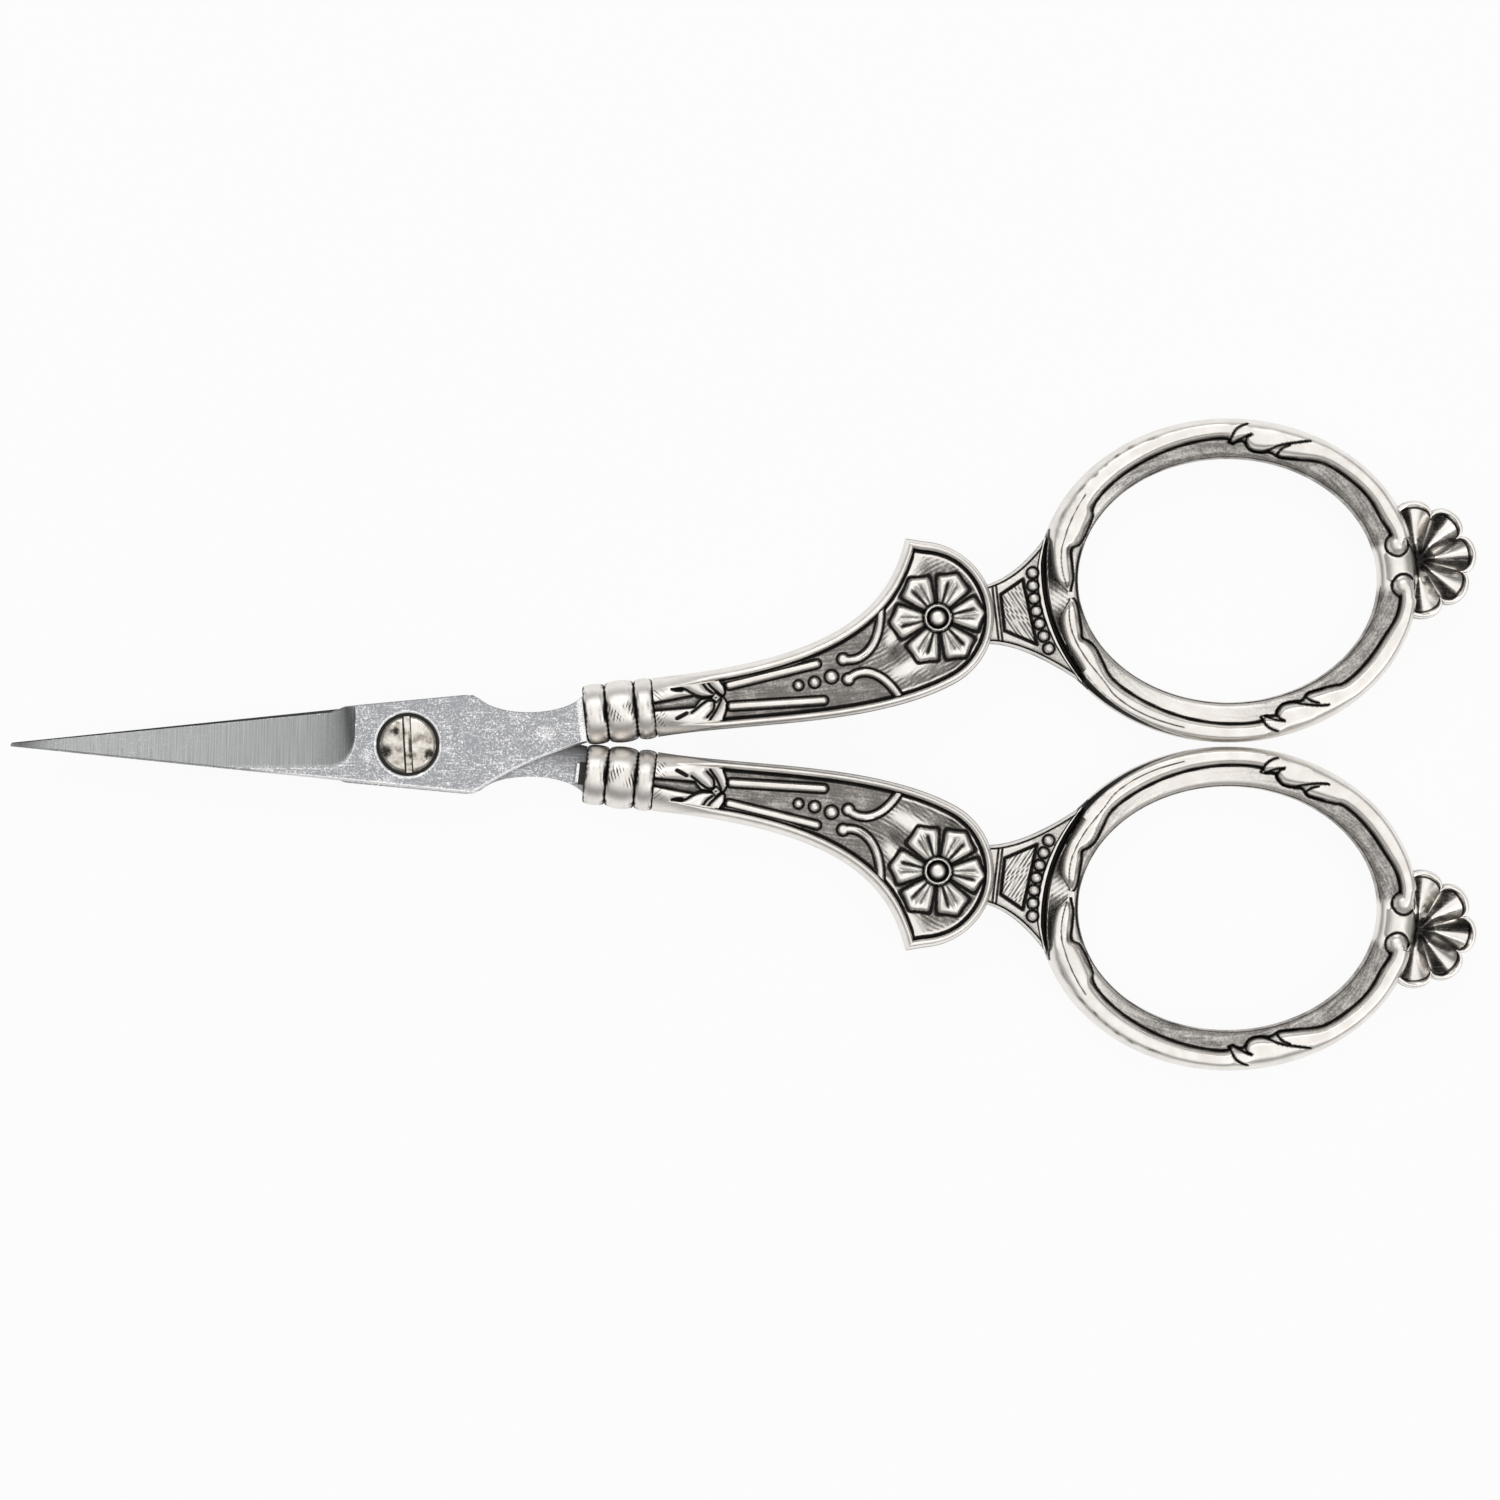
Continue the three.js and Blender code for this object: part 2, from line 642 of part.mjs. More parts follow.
// The neck leaves the disc straight and spreads to the bow on both sides in a hollow curve. It carries a
// sunk wedge and a row of beads on both faces. It is drawn along the line from disc to bow.
function neck() {
  const centre = flat(discReach, discHeight);
  const toAxis = (point) => point.sub(centre).rotateAround(origin, -bowAxisAngle);
  const fromAxis = (point) => point.clone().rotateAround(origin, bowAxisAngle).add(centre);
  const low = -neckDrop - neckHalfWidth;
  const high = -neckDrop + neckHalfWidth;
  const lowMeet = toAxis(bowPoint(Math.PI + degToRad(neckMeetLow), bowBand));
  const highMeet = toAxis(bowPoint(Math.PI - degToRad(neckMeetHigh), bowBand));
  const shape = new THREE.Shape();
  shape.moveTo(neckStart, low);
  shape.quadraticCurveTo(neckBend, low, lowMeet.x, lowMeet.y);
  shape.lineTo(bowAxis.length(), 0);
  shape.lineTo(highMeet.x, highMeet.y);
  shape.quadraticCurveTo(neckBend, high, neckStart, high);
  const outline = outlineOf(shape, curveSteps / 2).map(fromAxis);
  const web = prism(outline, -neckHalfThickness, neckHalfThickness).subtract(bowCore());
  const neckLength = bowAxis.length() - bowHalfLength - bowBand - discRadius;
  const corners = wedge.map(({ x, y }) => fromAxis(flat(discRadius + x * neckLength, y)));
  const field = prismsOnBothFaces(
    outlineOf(new THREE.Shape(corners), 1),
    neckHalfThickness - wedgeDepth,
    neckHalfThickness + wedgeDepth,
  );
  const row = [];
  for (let i = 0; i < neckBeadCount; i += 1) {
    const turn = Math.PI - degToRad(neckBeadStart - i * neckBeadPitch);
    const place = bowPoint(turn, bowBand + neckBeadGap);
    row.push(...domesOnBothFaces(place, neckBeadRadius, neckHalfThickness, neckBeadHeight));
  }
  return join([cut(web, field), ...row]);
}

// A scallop shell: lobes in a fan on the bow's outer edge, each hollowed to a spoon on both faces.
function shell() {
  const lobe = degToRad(shellLobeAngle);
  const halfFan = (lobe * shellLobes) / 2;
  const root = bowPoint(bowAxisAngle + tilt, bowBand);
  const outline = [];
  for (let i = 0; i <= shellLobes * lobeSteps; i += 1) {
    const phase = (2 * (i % lobeSteps)) / lobeSteps - 1;
    const swell = Math.sqrt(1 - phase * phase);
    const radius = shellNotchRadius + (shellRadius - shellNotchRadius) * swell;
    const turn = bowAxisAngle - halfFan + (lobe * i) / lobeSteps;
    outline.push(flat(radius, 0).rotateAround(origin, turn).add(root));
  }
  const flutes = [];
  const fluteHalfLength = (shellRadius - shellRim) / 2;
  for (let i = 0; i < shellLobes; i += 1) {
    for (const way of [-1, 1]) {
      const flute = new THREE.SphereGeometry(1, lobeSteps * 2, lobeSteps);
      flute.scale(fluteHalfLength, fluteHalfWidth, fluteDepth);
      flute.translate(fluteHalfLength, 0, way * shellHalfThickness);
      flute.rotateZ(bowAxisAngle + lobe * (i - (shellLobes - 1) / 2));
      flute.translate(root.x, root.y, 0);
      flutes.push(solid(flute));
    }
  }
  return cut(prism(outline, -shellHalfThickness, shellHalfThickness), flutes);
}

function handle() {
  const spigot = turnedAlong([
    flat(0, webDepth + fitClearance),
    flat(spigotRadius, webDepth + fitClearance),
    flat(spigotRadius, shankStart + spigotRadius),
    flat(0, shankStart + spigotRadius),
  ]);
  const casting = [shell(), bow(), neck(), spigot, shank(), ...rosette(), ...panelRidges()];
  return join(casting).subtract(tangSocket());
}

const steel = { color: 0xb8bbc0, roughness: 0.35, metalness: 1 };
const nickel = { color: 0xb3aca0, roughness: 0.4, metalness: 1 };
const antiqueSilver = { color: 0xc9c4b8, roughness: 0.32, metalness: 1 };

const ferruleBody = ferrule();
const handleBody = handle();

function half(side, blade) {
  const grip = new THREE.Group();
  grip.position.set(ferruleReach, ferruleHeight, 0);
  grip.rotation.z = tilt;
  grip.add(mesh(`${side}_ferrule`, ferruleBody, antiqueSilver));
  grip.add(mesh(`${side}_handle`, handleBody, antiqueSilver));
  const group = new THREE.Group();
  group.add(mesh(`${side}_blade`, blade, steel), grip);
  return group;
}

const frontHalf = half("front", counterboredBlade());
const rearHalf = half("rear", bladeBlank());
rearHalf.rotation.x = Math.PI;

const scissors = new THREE.Group();
scissors.add(frontHalf, rearHalf, mesh("pivot_screw", pivotScrew(), nickel));

// Lay the pair on z = 0 with the middle of its footprint at the origin.
const extent = new THREE.Box3().setFromObject(scissors, true);
const middle = extent.getCenter(new THREE.Vector3());
scissors.position.set(-middle.x, -middle.y, -extent.min.z);

const model = new THREE.Group();
model.add(scissors);

export default model;
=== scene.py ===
import json
import math

import bmesh
import bpy
import numpy as np
from mathutils import Matrix, Vector


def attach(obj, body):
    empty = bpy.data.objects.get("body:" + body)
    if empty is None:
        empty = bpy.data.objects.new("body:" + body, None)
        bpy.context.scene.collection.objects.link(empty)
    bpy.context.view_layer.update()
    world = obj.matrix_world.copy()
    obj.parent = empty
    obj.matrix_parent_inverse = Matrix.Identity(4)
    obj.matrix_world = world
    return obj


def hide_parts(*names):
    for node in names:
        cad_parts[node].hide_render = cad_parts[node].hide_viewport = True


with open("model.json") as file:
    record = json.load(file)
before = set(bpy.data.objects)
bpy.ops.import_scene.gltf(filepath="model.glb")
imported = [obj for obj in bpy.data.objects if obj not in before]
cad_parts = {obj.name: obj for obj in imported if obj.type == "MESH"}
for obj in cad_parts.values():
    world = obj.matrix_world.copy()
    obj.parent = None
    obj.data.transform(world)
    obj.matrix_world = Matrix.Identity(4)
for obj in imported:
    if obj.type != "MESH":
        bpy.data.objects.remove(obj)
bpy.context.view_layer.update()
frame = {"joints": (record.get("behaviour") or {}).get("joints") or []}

# The blades: two stamped stainless plates, ground thin towards the cutting edge and satin on the rest. The
# front one lies on top and is counterbored for the screw. The rear one is the same plate turned over.
PIVOT = np.array(frame["joints"][0]["pos_m"])
MILLIMETRE = 0.001
INNER = 0.05  # half the air between the plates
OUTER = 1.45
TIP_REACH = -31.8
TIP_LOW = -0.15
TIP_HIGH = 0.07
EDGE_END = (-6.3, 2.55)
CHOIL_END = (-5.1, 3.05)
HEEL_REACH = 5.1
HEEL_HALF_WIDTH = 3.95
HEEL_ROUND = 0.6
HEEL_SWEEP = (9.64, -1)
WAIST = 2.19  # controls of the hollow between heel and shoulder
WAIST_PULL = 1.58
GRIP_REACH = 14.1  # middle of the ferrule's mouth
GRIP_RISE = 2.339
GRIP_TILT = math.radians(6.2)
SHOULDER_GAP = 0.06
SHOULDER_LOW = -2.2
SHOULDER_HIGH = 1.5
BEVEL_FOOT = -1.88
BEVEL_DEPTH = 1.15
TIP_DEPTH = 0.9
RUNOUT_START = -6.25
RUNOUT = 2.05
RUNOUT_RISE = 2.6
RUNOUT_SHADE = 4
SPINE_CHAMFER = 0.16
FACE_CHAMFER = 0.08
SPINE_STRIP = 0.45  # width of the painted shade strip along the inner face's spine, which lies in shadow behind the other blade
SHOULDER_CHAMFER = 0.55
SHOULDER_DROP = 0.02
SHINE = 0.08  # width of the painted highlight along the border of the bevel
SCUFFS = ((11, 0.85, 0.9), (-3.3, -0.8, 0.6), (-1.5, -3.0, 0.7), (3.2, -0.4, 0.5))  # middles and half sizes
TANG = (7.7, 1.8, 0.9)
TANG_START = -0.5
TANG_FOOT = (0.57, 1.5, 0.8)  # the step in front of the tang, slanted, with a painted highlight
TANG_SLANT = 0.35
BLADE_COLUMNS = 520
BLADE_ROWS = 44
SCREW_RADIUS = 1.5
SCREW_CLEARANCE = 0.05  # air round the shank in both blades
SEAT_RADIUS = 2.52
SEAT_DEPTH = 0.75
SEAT_CHAMFER = 0.14
SEAT_DROP = 0.05
TURN_STEPS = 96


def curve(*controls, steps=60):
    """Points along the Bezier curve with these controls; two controls give a straight line."""
    share = np.linspace(0, 1, steps)[:, None]
    points = [np.array(control, float) + 0 * share for control in controls]
    while len(points) > 1:
        points = [start + share * (end - start) for start, end in zip(points, points[1:])]
    return points[0]


def ramp(low, high, value):
    """0 up to low and 1 from high on, with a soft ramp between."""
    share = np.clip((value - low) / (high - low), 0, 1)
    return share * share * (3 - 2 * share)


def arched(share, power=2):
    """A round back: 1 in the middle, where share is 0, and 0 where it is 1 or more to either side."""
    return np.sqrt(np.clip(1 - np.abs(share) ** power, 0, 1))


def patch(x, y, middle, half, power=2):
    """A soft patch with these half sizes; the higher the power, the squarer."""
    return np.exp(-(((x - middle[0]) / half[0]) ** power) - ((y - middle[1]) / half[1]) ** power)


def spots(x, y, marks):
    """Soft round spots, each given by its middle and half size."""
    return np.maximum.reduce([patch(x, y, middle, (size, size)) for *middle, size in marks])


def from_grip(points):
    """Points in a handle's own millimetres, from its ferrule's mouth, as millimetres from the pivot."""
    cos, sin = math.cos(GRIP_TILT), math.sin(GRIP_TILT)
    return np.asarray(points, float) @ [[cos, sin, 0], [-sin, cos, 0], [0, 0, 1]] + (GRIP_REACH, GRIP_RISE, 0)


def into_frame(points, side):
    """Millimetres from the pivot as places in the frame. The rear half is the front one turned over."""
    return PIVOT + np.asarray(points) * ((1, 1, 1) if side == "front" else (1, -1, -1)) * MILLIMETRE


def mesh_from(name, form):
    mesh = bpy.data.meshes.new(name)
    form.to_mesh(mesh)
    form.free()
    return mesh


def sheet(name, points, brush, **values):
    """A closed mesh over a grid of points, welded where the grid's edges meet and filled at open ends.

    brush holds millimetres along and across the metal's brushing, and each of values a number per point.
    """
    rows, columns = points.shape[:2]
    form = bmesh.new()
    bmesh.ops.create_grid(form, x_segments=columns - 1, y_segments=rows - 1, size=1)
    mesh = mesh_from(name, form)
    mesh.vertices.foreach_set("co", points.astype(np.float32).ravel())
    for label, value in values.items():
        layer = mesh.attributes.new(label, "FLOAT", "POINT")
        layer.data.foreach_set("value", value.astype(np.float32).ravel())
    corners = np.empty(len(mesh.loops), np.int32)
    mesh.loops.foreach_get("vertex_index", corners)
    brushing = mesh.uv_layers.new(name="brush")
    brushing.uv.foreach_set("vector", brush.reshape(-1, 2)[corners].astype(np.float32).ravel())
    form = bmesh.new()
    form.from_mesh(mesh)
    bmesh.ops.remove_doubles(form, verts=form.verts, dist=MILLIMETRE / 1000)
    bmesh.ops.holes_fill(form, edges=[edge for edge in form.edges if edge.is_boundary])
    bmesh.ops.recalc_face_normals(form, faces=form.faces)
    form.to_mesh(mesh)
    form.free()
    return mesh


def turned(profile):
    """A turned form about Z, in millimetres from the pivot, from its profile of radius and height."""
    form = bmesh.new()
    points = [form.verts.new((radius, 0, height)) for radius, height in profile]
    lines = [form.edges.new(pair) for pair in zip(points, points[1:])]
    bmesh.ops.spin(
        form, geom=points + lines, axis=(0, 0, 1), angle=2 * math.pi, steps=TURN_STEPS, use_merge=True
    )
    bmesh.ops.remove_doubles(form, verts=form.verts, dist=MILLIMETRE)
    bmesh.ops.recalc_face_normals(form, faces=form.faces)
    return form


def placed(name, form):
    """A mesh from a form in millimetres from the pivot."""
    into_place = Matrix.Translation(PIVOT) @ Matrix.Scale(MILLIMETRE, 4)
    bmesh.ops.transform(form, matrix=into_place, verts=form.verts)
    return mesh_from(name, form)


def into_scene(name, data):
    """An object of the scene with this mesh, lamp or camera."""
    made = bpy.data.objects.new(name, data)
    bpy.context.scene.collection.objects.link(made)
    return made


def dress(name, mesh, material, body, node=None):
    """Makes a piece from a mesh that is in its place, and hangs it on a body of the frame."""
    mesh.materials.append(material)
    mesh.shade_smooth()
    mesh.set_sharp_from_angle(angle=math.radians(35))
    piece = into_scene(name, mesh)
    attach(piece, body)
    if node:
        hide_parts(node)
    return piece


def cut_away(mesh, cutter_form):
    """The mesh with a form in millimetres from the pivot cut out of it."""
    stock = into_scene("stock", mesh)
    cutter = into_scene("cutter", placed("cutter", cutter_form))
    cut = stock.modifiers.new("cut", "BOOLEAN")
    cut.object = cutter
    cut.solver = "EXACT"
    left = bpy.data.meshes.new_from_object(stock.evaluated_get(bpy.context.evaluated_depsgraph_get()))
    left.name = mesh.name
    for used in (stock, cutter):
        bpy.data.objects.remove(used)
    return left


shoulder_low = from_grip((-SHOULDER_GAP, SHOULDER_LOW, 0))
shoulder_high = from_grip((-SHOULDER_GAP, SHOULDER_HIGH, 0))
heel_corner = (HEEL_REACH + HEEL_ROUND, HEEL_HALF_WIDTH - HEEL_ROUND / 2)
spine = np.vstack(
    [
        [(TIP_REACH, TIP_LOW)],
        curve((HEEL_REACH, -HEEL_HALF_WIDTH), HEEL_SWEEP, shoulder_low[:2]),
    ]
)
edge = np.vstack(
    [
        [(TIP_REACH, TIP_HIGH), EDGE_END, CHOIL_END],
        curve(
            (HEEL_REACH - HEEL_ROUND, HEEL_HALF_WIDTH), (HEEL_REACH, HEEL_HALF_WIDTH), heel_corner, steps=12
        ),
        curve(
            heel_corner,
            (heel_corner[0] + WAIST_PULL, WAIST),
            (shoulder_high[0] - WAIST_PULL, WAIST),
            shoulder_high[:2],
        )[1:],
    ]
)
edge_slope = (EDGE_END[1] - TIP_HIGH) / (EDGE_END[0] - TIP_REACH)
spine_slope = (HEEL_HALF_WIDTH + TIP_LOW) / (HEEL_REACH - TIP_REACH)
foot_meets_spine = TIP_REACH + (TIP_LOW - BEVEL_FOOT) / spine_slope


def ground_off(x, y):
    """How much the wheel took off the outer face: most along the edge, nothing past the curved stop."""
    left = arched(np.clip((x - RUNOUT_START) / RUNOUT, 0, 1))
    foot = np.maximum(np.interp(x, *spine.T), BEVEL_FOOT) + RUNOUT_RISE * (1 - left)
    line = TIP_HIGH + edge_slope * (x - TIP_REACH)
    foot_cut = TIP_DEPTH * np.clip((foot_meets_spine - x) / (foot_meets_spine - TIP_REACH), 0, 1)
    share = np.clip((y - foot) / (line - foot), 0, 1.2)
    return foot_cut + (BEVEL_DEPTH * left - foot_cut) * share


def add_tang(mesh, side):
    """The tang, painted dark as shadow inside the ferrule's mouth, and the step in front of it, with a
    painted highlight.
    """
    form = bmesh.new()
    form.from_mesh(mesh)
    shade_layer = form.verts.layers.float["grime"]
    foot_start = TANG_START - TANG_FOOT[0]
    for start, size, slant, grime in ((TANG_START, TANG, 0, 1), (foot_start, TANG_FOOT, TANG_SLANT, -1)):
        for corner in bmesh.ops.create_cube(form, size=1)["verts"]:
            lean = slant if corner.co.x < 0 and corner.co.z < 0 else 0
            spot = np.array(corner.co) * size + (start + lean + size[0] / 2, 0, 0)
            corner.co = into_frame(from_grip(spot), side)
            corner[shade_layer] = grime
    form.to_mesh(mesh)
    form.free()
    return mesh


def highlights_and_scuffs(x, y):
    """How bright the outer face is: painted highlights along the bevel's border, the spine and the shoulder,
    and worn bright scuffs.
    """
    shoulder_highlight = ramp(SHOULDER_CHAMFER, SHOULDER_CHAMFER / 2, x[-1] - x)
    border_highlight = (ground_off(x, y) == 0) & (ground_off(x - SHINE, y + SHINE) > 0)
    shine = np.maximum(shoulder_highlight, 0.55 * border_highlight)
    shine = np.maximum(shine, 0.45 * spots(x, y, SCUFFS))
    shine[:, 0] = ramp(foot_meets_spine, RUNOUT_START, x[:, 0])
    return shine


def blade(name, side):
    low_x = np.linspace(TIP_REACH, shoulder_low[0], BLADE_COLUMNS)
    high_x = np.linspace(TIP_REACH, shoulder_high[0], BLADE_COLUMNS)
    low = np.interp(low_x, *spine.T)
    high = np.interp(high_x, *edge.T)
    low_chamfer = np.minimum(SPINE_CHAMFER, (high - low) / 6)
    high_chamfer = np.where(high_x < EDGE_END[0], 0, FACE_CHAMFER)
    share = np.linspace(0, 1, BLADE_ROWS)
    x = low_x[:, None] + (high_x - low_x)[:, None] * share
    y = (low + low_chamfer)[:, None] + (high - high_chamfer - low - low_chamfer)[:, None] * share
    cut = ground_off(x, y)
    shoulder = SHOULDER_DROP * np.clip(1 - (shoulder_low[0] - low_x) / SHOULDER_CHAMFER, 0, 1)
    z = OUTER - cut - shoulder[:, None]
    inner = np.full(BLADE_COLUMNS, INNER)
    strip = np.minimum(low + SPINE_STRIP, (low + high) / 2)
    loop_x = np.column_stack([low_x, low_x, x, high_x, high_x, low_x, low_x])
    loop_y = np.column_stack([low, low, y, high, high, strip, low])
    loop_z = np.column_stack([inner, z[:, 0] - low_chamfer, z, z[:, -1] - high_chamfer, inner, inner, inner])
    none = np.zeros(BLADE_COLUMNS)
    full = none + 1
    ground = np.clip(cut * 12, 0, 1)
    # Painted shade on the bevel towards its curved stop.
    stop_shade = ground * ramp(RUNOUT_START - RUNOUT_SHADE, RUNOUT_START + RUNOUT, x)
    shine = highlights_and_scuffs(x, y)
    points = np.stack([loop_x, loop_y, loop_z], axis=-1)
    # The inner face along the spine and the strip beside it get painted shade, as does the bevel towards its
    # stop; values below nothing are painted highlights and scuffs.
    mesh = sheet(
        name,
        into_frame(points, side),
        np.stack([loop_y, loop_x], axis=-1),
        ground=np.column_stack([none, none, ground, none, none, none, none]),
        grime=np.column_stack([full, -shine[:, 0], stop_shade / 2 - shine, none, none, full * 0.7, full]),
    )
    return add_tang(mesh, side)


def set_shading_and_marks(mesh, rule):
    """Sets painted shade, painted highlights below nothing, or brown marks, on a mesh where a rule of x, y
    and z, in millimetres from the pivot, isn't nothing.
    """
    places = np.empty(3 * len(mesh.vertices), np.float32)
    mesh.vertices.foreach_get("co", places)
    x, y, z = (places.reshape(-1, 3) - PIVOT).T / MILLIMETRE
    layer = mesh.attributes.get("grime") or mesh.attributes.new("grime", "FLOAT", "POINT")
    grime = np.empty(len(x), np.float32)
    layer.data.foreach_get("value", grime)
    ruled = rule(x, y, z)
    layer.data.foreach_set("value", np.where(ruled != 0, ruled, grime).astype(np.float32))
    return mesh


class Wire:
    """One output in a node tree. Arithmetic on it adds nodes, so that a material reads like a formula."""

    def __init__(self, tree, socket=None):
        self.tree = tree
        self.socket = socket

    def node(self, kind, inputs=None, output=0, **settings):
        """Adds a node with these settings and inputs, and returns one of its outputs."""
        made = self.tree.nodes.new(kind)
        for name, value in settings.items():
            setattr(made, name, value)
        for key, value in (inputs or {}).items():
            if isinstance(value, Wire):
                self.tree.links.new(value.socket, made.inputs[key])
            else:
                made.inputs[key].default_value = value
        return Wire(self.tree, made.outputs[output])

    def math(self, operation, *values):
        return self.node("ShaderNodeMath", dict(enumerate(values)), operation=operation)

    def __add__(self, other):
        return self.math("ADD", self, other)

    def __sub__(self, other):
        return self.math("SUBTRACT", self, other)

    def __rsub__(self, other):
        return self.math("SUBTRACT", other, self)

    def __mul__(self, other):
        return self.math("MULTIPLY", self, other)

    __radd__ = __add__
    __rmul__ = __mul__

    def step(self, low, high):
        """0 up to low and 1 from high on, with a soft ramp between."""
        inputs = {0: self, 1: low, 2: high, 3: 0.0, 4: 1.0}
        return self.node("ShaderNodeMapRange", inputs, interpolation_type="SMOOTHSTEP")

    def mix(self, low, high):
        """low where this is 0, high where it is 1; both are colours."""
        return self.node("ShaderNodeMix", {0: self, 6: low, 7: high}, output=2, data_type="RGBA")

    def attribute(self, name):
        return self.node("ShaderNodeAttribute", output="Fac", attribute_name=name)

    def stretched(self, source, scales):
        """Coordinates times a scale for each axis: Object for places in the frame, UV for the brushing."""
        place = self.node("ShaderNodeTexCoord", output=source)
        return self.node("ShaderNodeVectorMath", {0: place, 1: scales}, operation="MULTIPLY")

    def noise(self, source, scales, detail=3.0, rough=0.6):
        place = self.stretched(source, scales)
        inputs = {"Vector": place, "Scale": 1.0, "Detail": detail, "Roughness": rough}
        return self.node("ShaderNodeTexNoise", inputs)

    def bump(self, strength, depth):
        """A normal for a surface with these heights, over a depth in millimetres."""
        inputs = {"Strength": strength, "Distance": depth * MILLIMETRE, "Height": self}
        return self.node("ShaderNodeBump", inputs)


def shaded(name, build):
    """A material whose shader sockets are set by build, which gets a wire into its node tree."""
    material = bpy.data.materials.new(name)
    material.use_nodes = True
    shader = material.node_tree.nodes["Principled BSDF"]
    for socket, value in build(Wire(material.node_tree)).items():
        if isinstance(value, Wire):
            material.node_tree.links.new(value.socket, shader.inputs[socket])
        else:
            shader.inputs[socket].default_value = value
    return material


def even(per_millimetre):
    return (per_millimetre / MILLIMETRE,) * 3


def steel(wire):
    """Satin stainless: bright specks and scratches, cross lines where it is ground, and dark where painted
    shade is set.

    Below nothing the attribute is a painted highlight, as along lit edges and the spine, or bare bright metal
    in scuffs.
    """
    ground = wire.attribute("ground")
    grime = wire.attribute("grime")
    lines = wire.noise("UV", (0.12, 9, 1), detail=4)
    scratch = wire.noise("UV", (7, 0.5, 1), detail=3, rough=0.7)
    grain = wire.noise("Object", even(8), detail=5, rough=0.8)
    fleck = wire.noise("Object", even(4), detail=6, rough=0.85)
    cloud = wire.noise("Object", even(0.55), detail=3)
    worn = cloud.step(0.36, 0.62)
    shine = (0 - grime).step(0.1, 0.8)
    specks = grain.step(0.52, 0.60) * (worn * 0.4 + 0.55) + fleck.step(0.53, 0.59) * worn * 0.6
    specks = specks + scratch.step(0.57, 0.66) * 0.5 + shine * grain.step(0.3, 0.55)
    satin = specks.mix((0.35, 0.36, 0.385, 1), (1.0, 1.0, 1.0, 1))
    wheel = lines.step(0.25, 0.75).mix((0.23, 0.24, 0.237, 1), (0.38, 0.395, 0.39, 1))
    shade_and_dirt = (grime + (grain - 0.5) * grime * 1.6).step(0.1, 1.0)
    height = grain * (1 - ground) + lines * ground
    return {
        "Base Color": shade_and_dirt.mix(ground.mix(satin, wheel), (0.035, 0.033, 0.032, 1)),
        "Metallic": 1.0 - shade_and_dirt * 0.4,
        "Roughness": 0.42 - specks * 0.1 - ground * 0.04,
        "Normal": height.bump(0.22, 0.04),
    }


blade_steel = shaded("blade_steel", steel)
bore = SCREW_RADIUS + SCREW_CLEARANCE
hole = [(0, INNER - 1), (bore, INNER - 1), (bore, OUTER + 1), (0, OUTER + 1)]
seat = [
    (0, OUTER - SEAT_DEPTH),
    (SEAT_RADIUS, OUTER - SEAT_DEPTH),
    (SEAT_RADIUS, OUTER - SEAT_DROP),
    (SEAT_RADIUS + 2 * SEAT_CHAMFER, OUTER + SEAT_DROP),
    (0, OUTER + SEAT_DROP),
]
front_blade = cut_away(cut_away(blade("front_blade", "front"), turned(hole)), turned(seat))


def seat_shade_and_highlight(x, y, z):
    """Painted shadow on the floor and wall of the counterbore, and a painted highlight on the chamfer round
    it.
    """
    inside = (np.hypot(x, y) < SEAT_RADIUS + SEAT_CHAMFER * 1.1) & (z > INNER * 2)
    return np.where(z > OUTER - SEAT_DROP * 1.5, -1, 1) * inside


set_shading_and_marks(front_blade, seat_shade_and_highlight)
rear_hole = [(radius, -height) for radius, height in hole]
rear_blade = cut_away(blade("rear_blade", "rear"), turned(rear_hole))
dress("front_blade_ground", front_blade, blade_steel, "front_half", "front_blade")
dress("rear_blade_ground", rear_blade, blade_steel, "rear_half", "rear_blade")

# The pivot screw: a turned cheese head with a sawn slot, nickel plated and worn, sunk in the front blade. Its
# end is flush with the rear blade's outer face.
HEAD_RADIUS = 2.25
HEAD_SEAT = OUTER - SEAT_DEPTH + 0.05
HEAD_ROUND = 0.16
HEAD_CROWN = 0.3
SLOT = (0.7, 8, 1.1)
SLOT_MARK = (0.16, -0.1)  # middle of the brown marks in the slot, across and along it
SLOT_MARK_HALF = (0.16, 1.3)
SLOT_TURN = math.radians(3)
HEAD_DARK_REFLECTIONS = ((-1.75, -0.55, 0.55), (1.75, -0.7, 0.45), (-0.95, 1.1, 0.3))  # painted dark reflections on the head: middles and half sizes
CROWN_STEPS = 14


def leaned(x, y, angle):
    """Distances along and across a line that leans by this angle."""
    cos, sin = math.cos(angle), math.sin(angle)
    return x * cos + y * sin, y * cos - x * sin


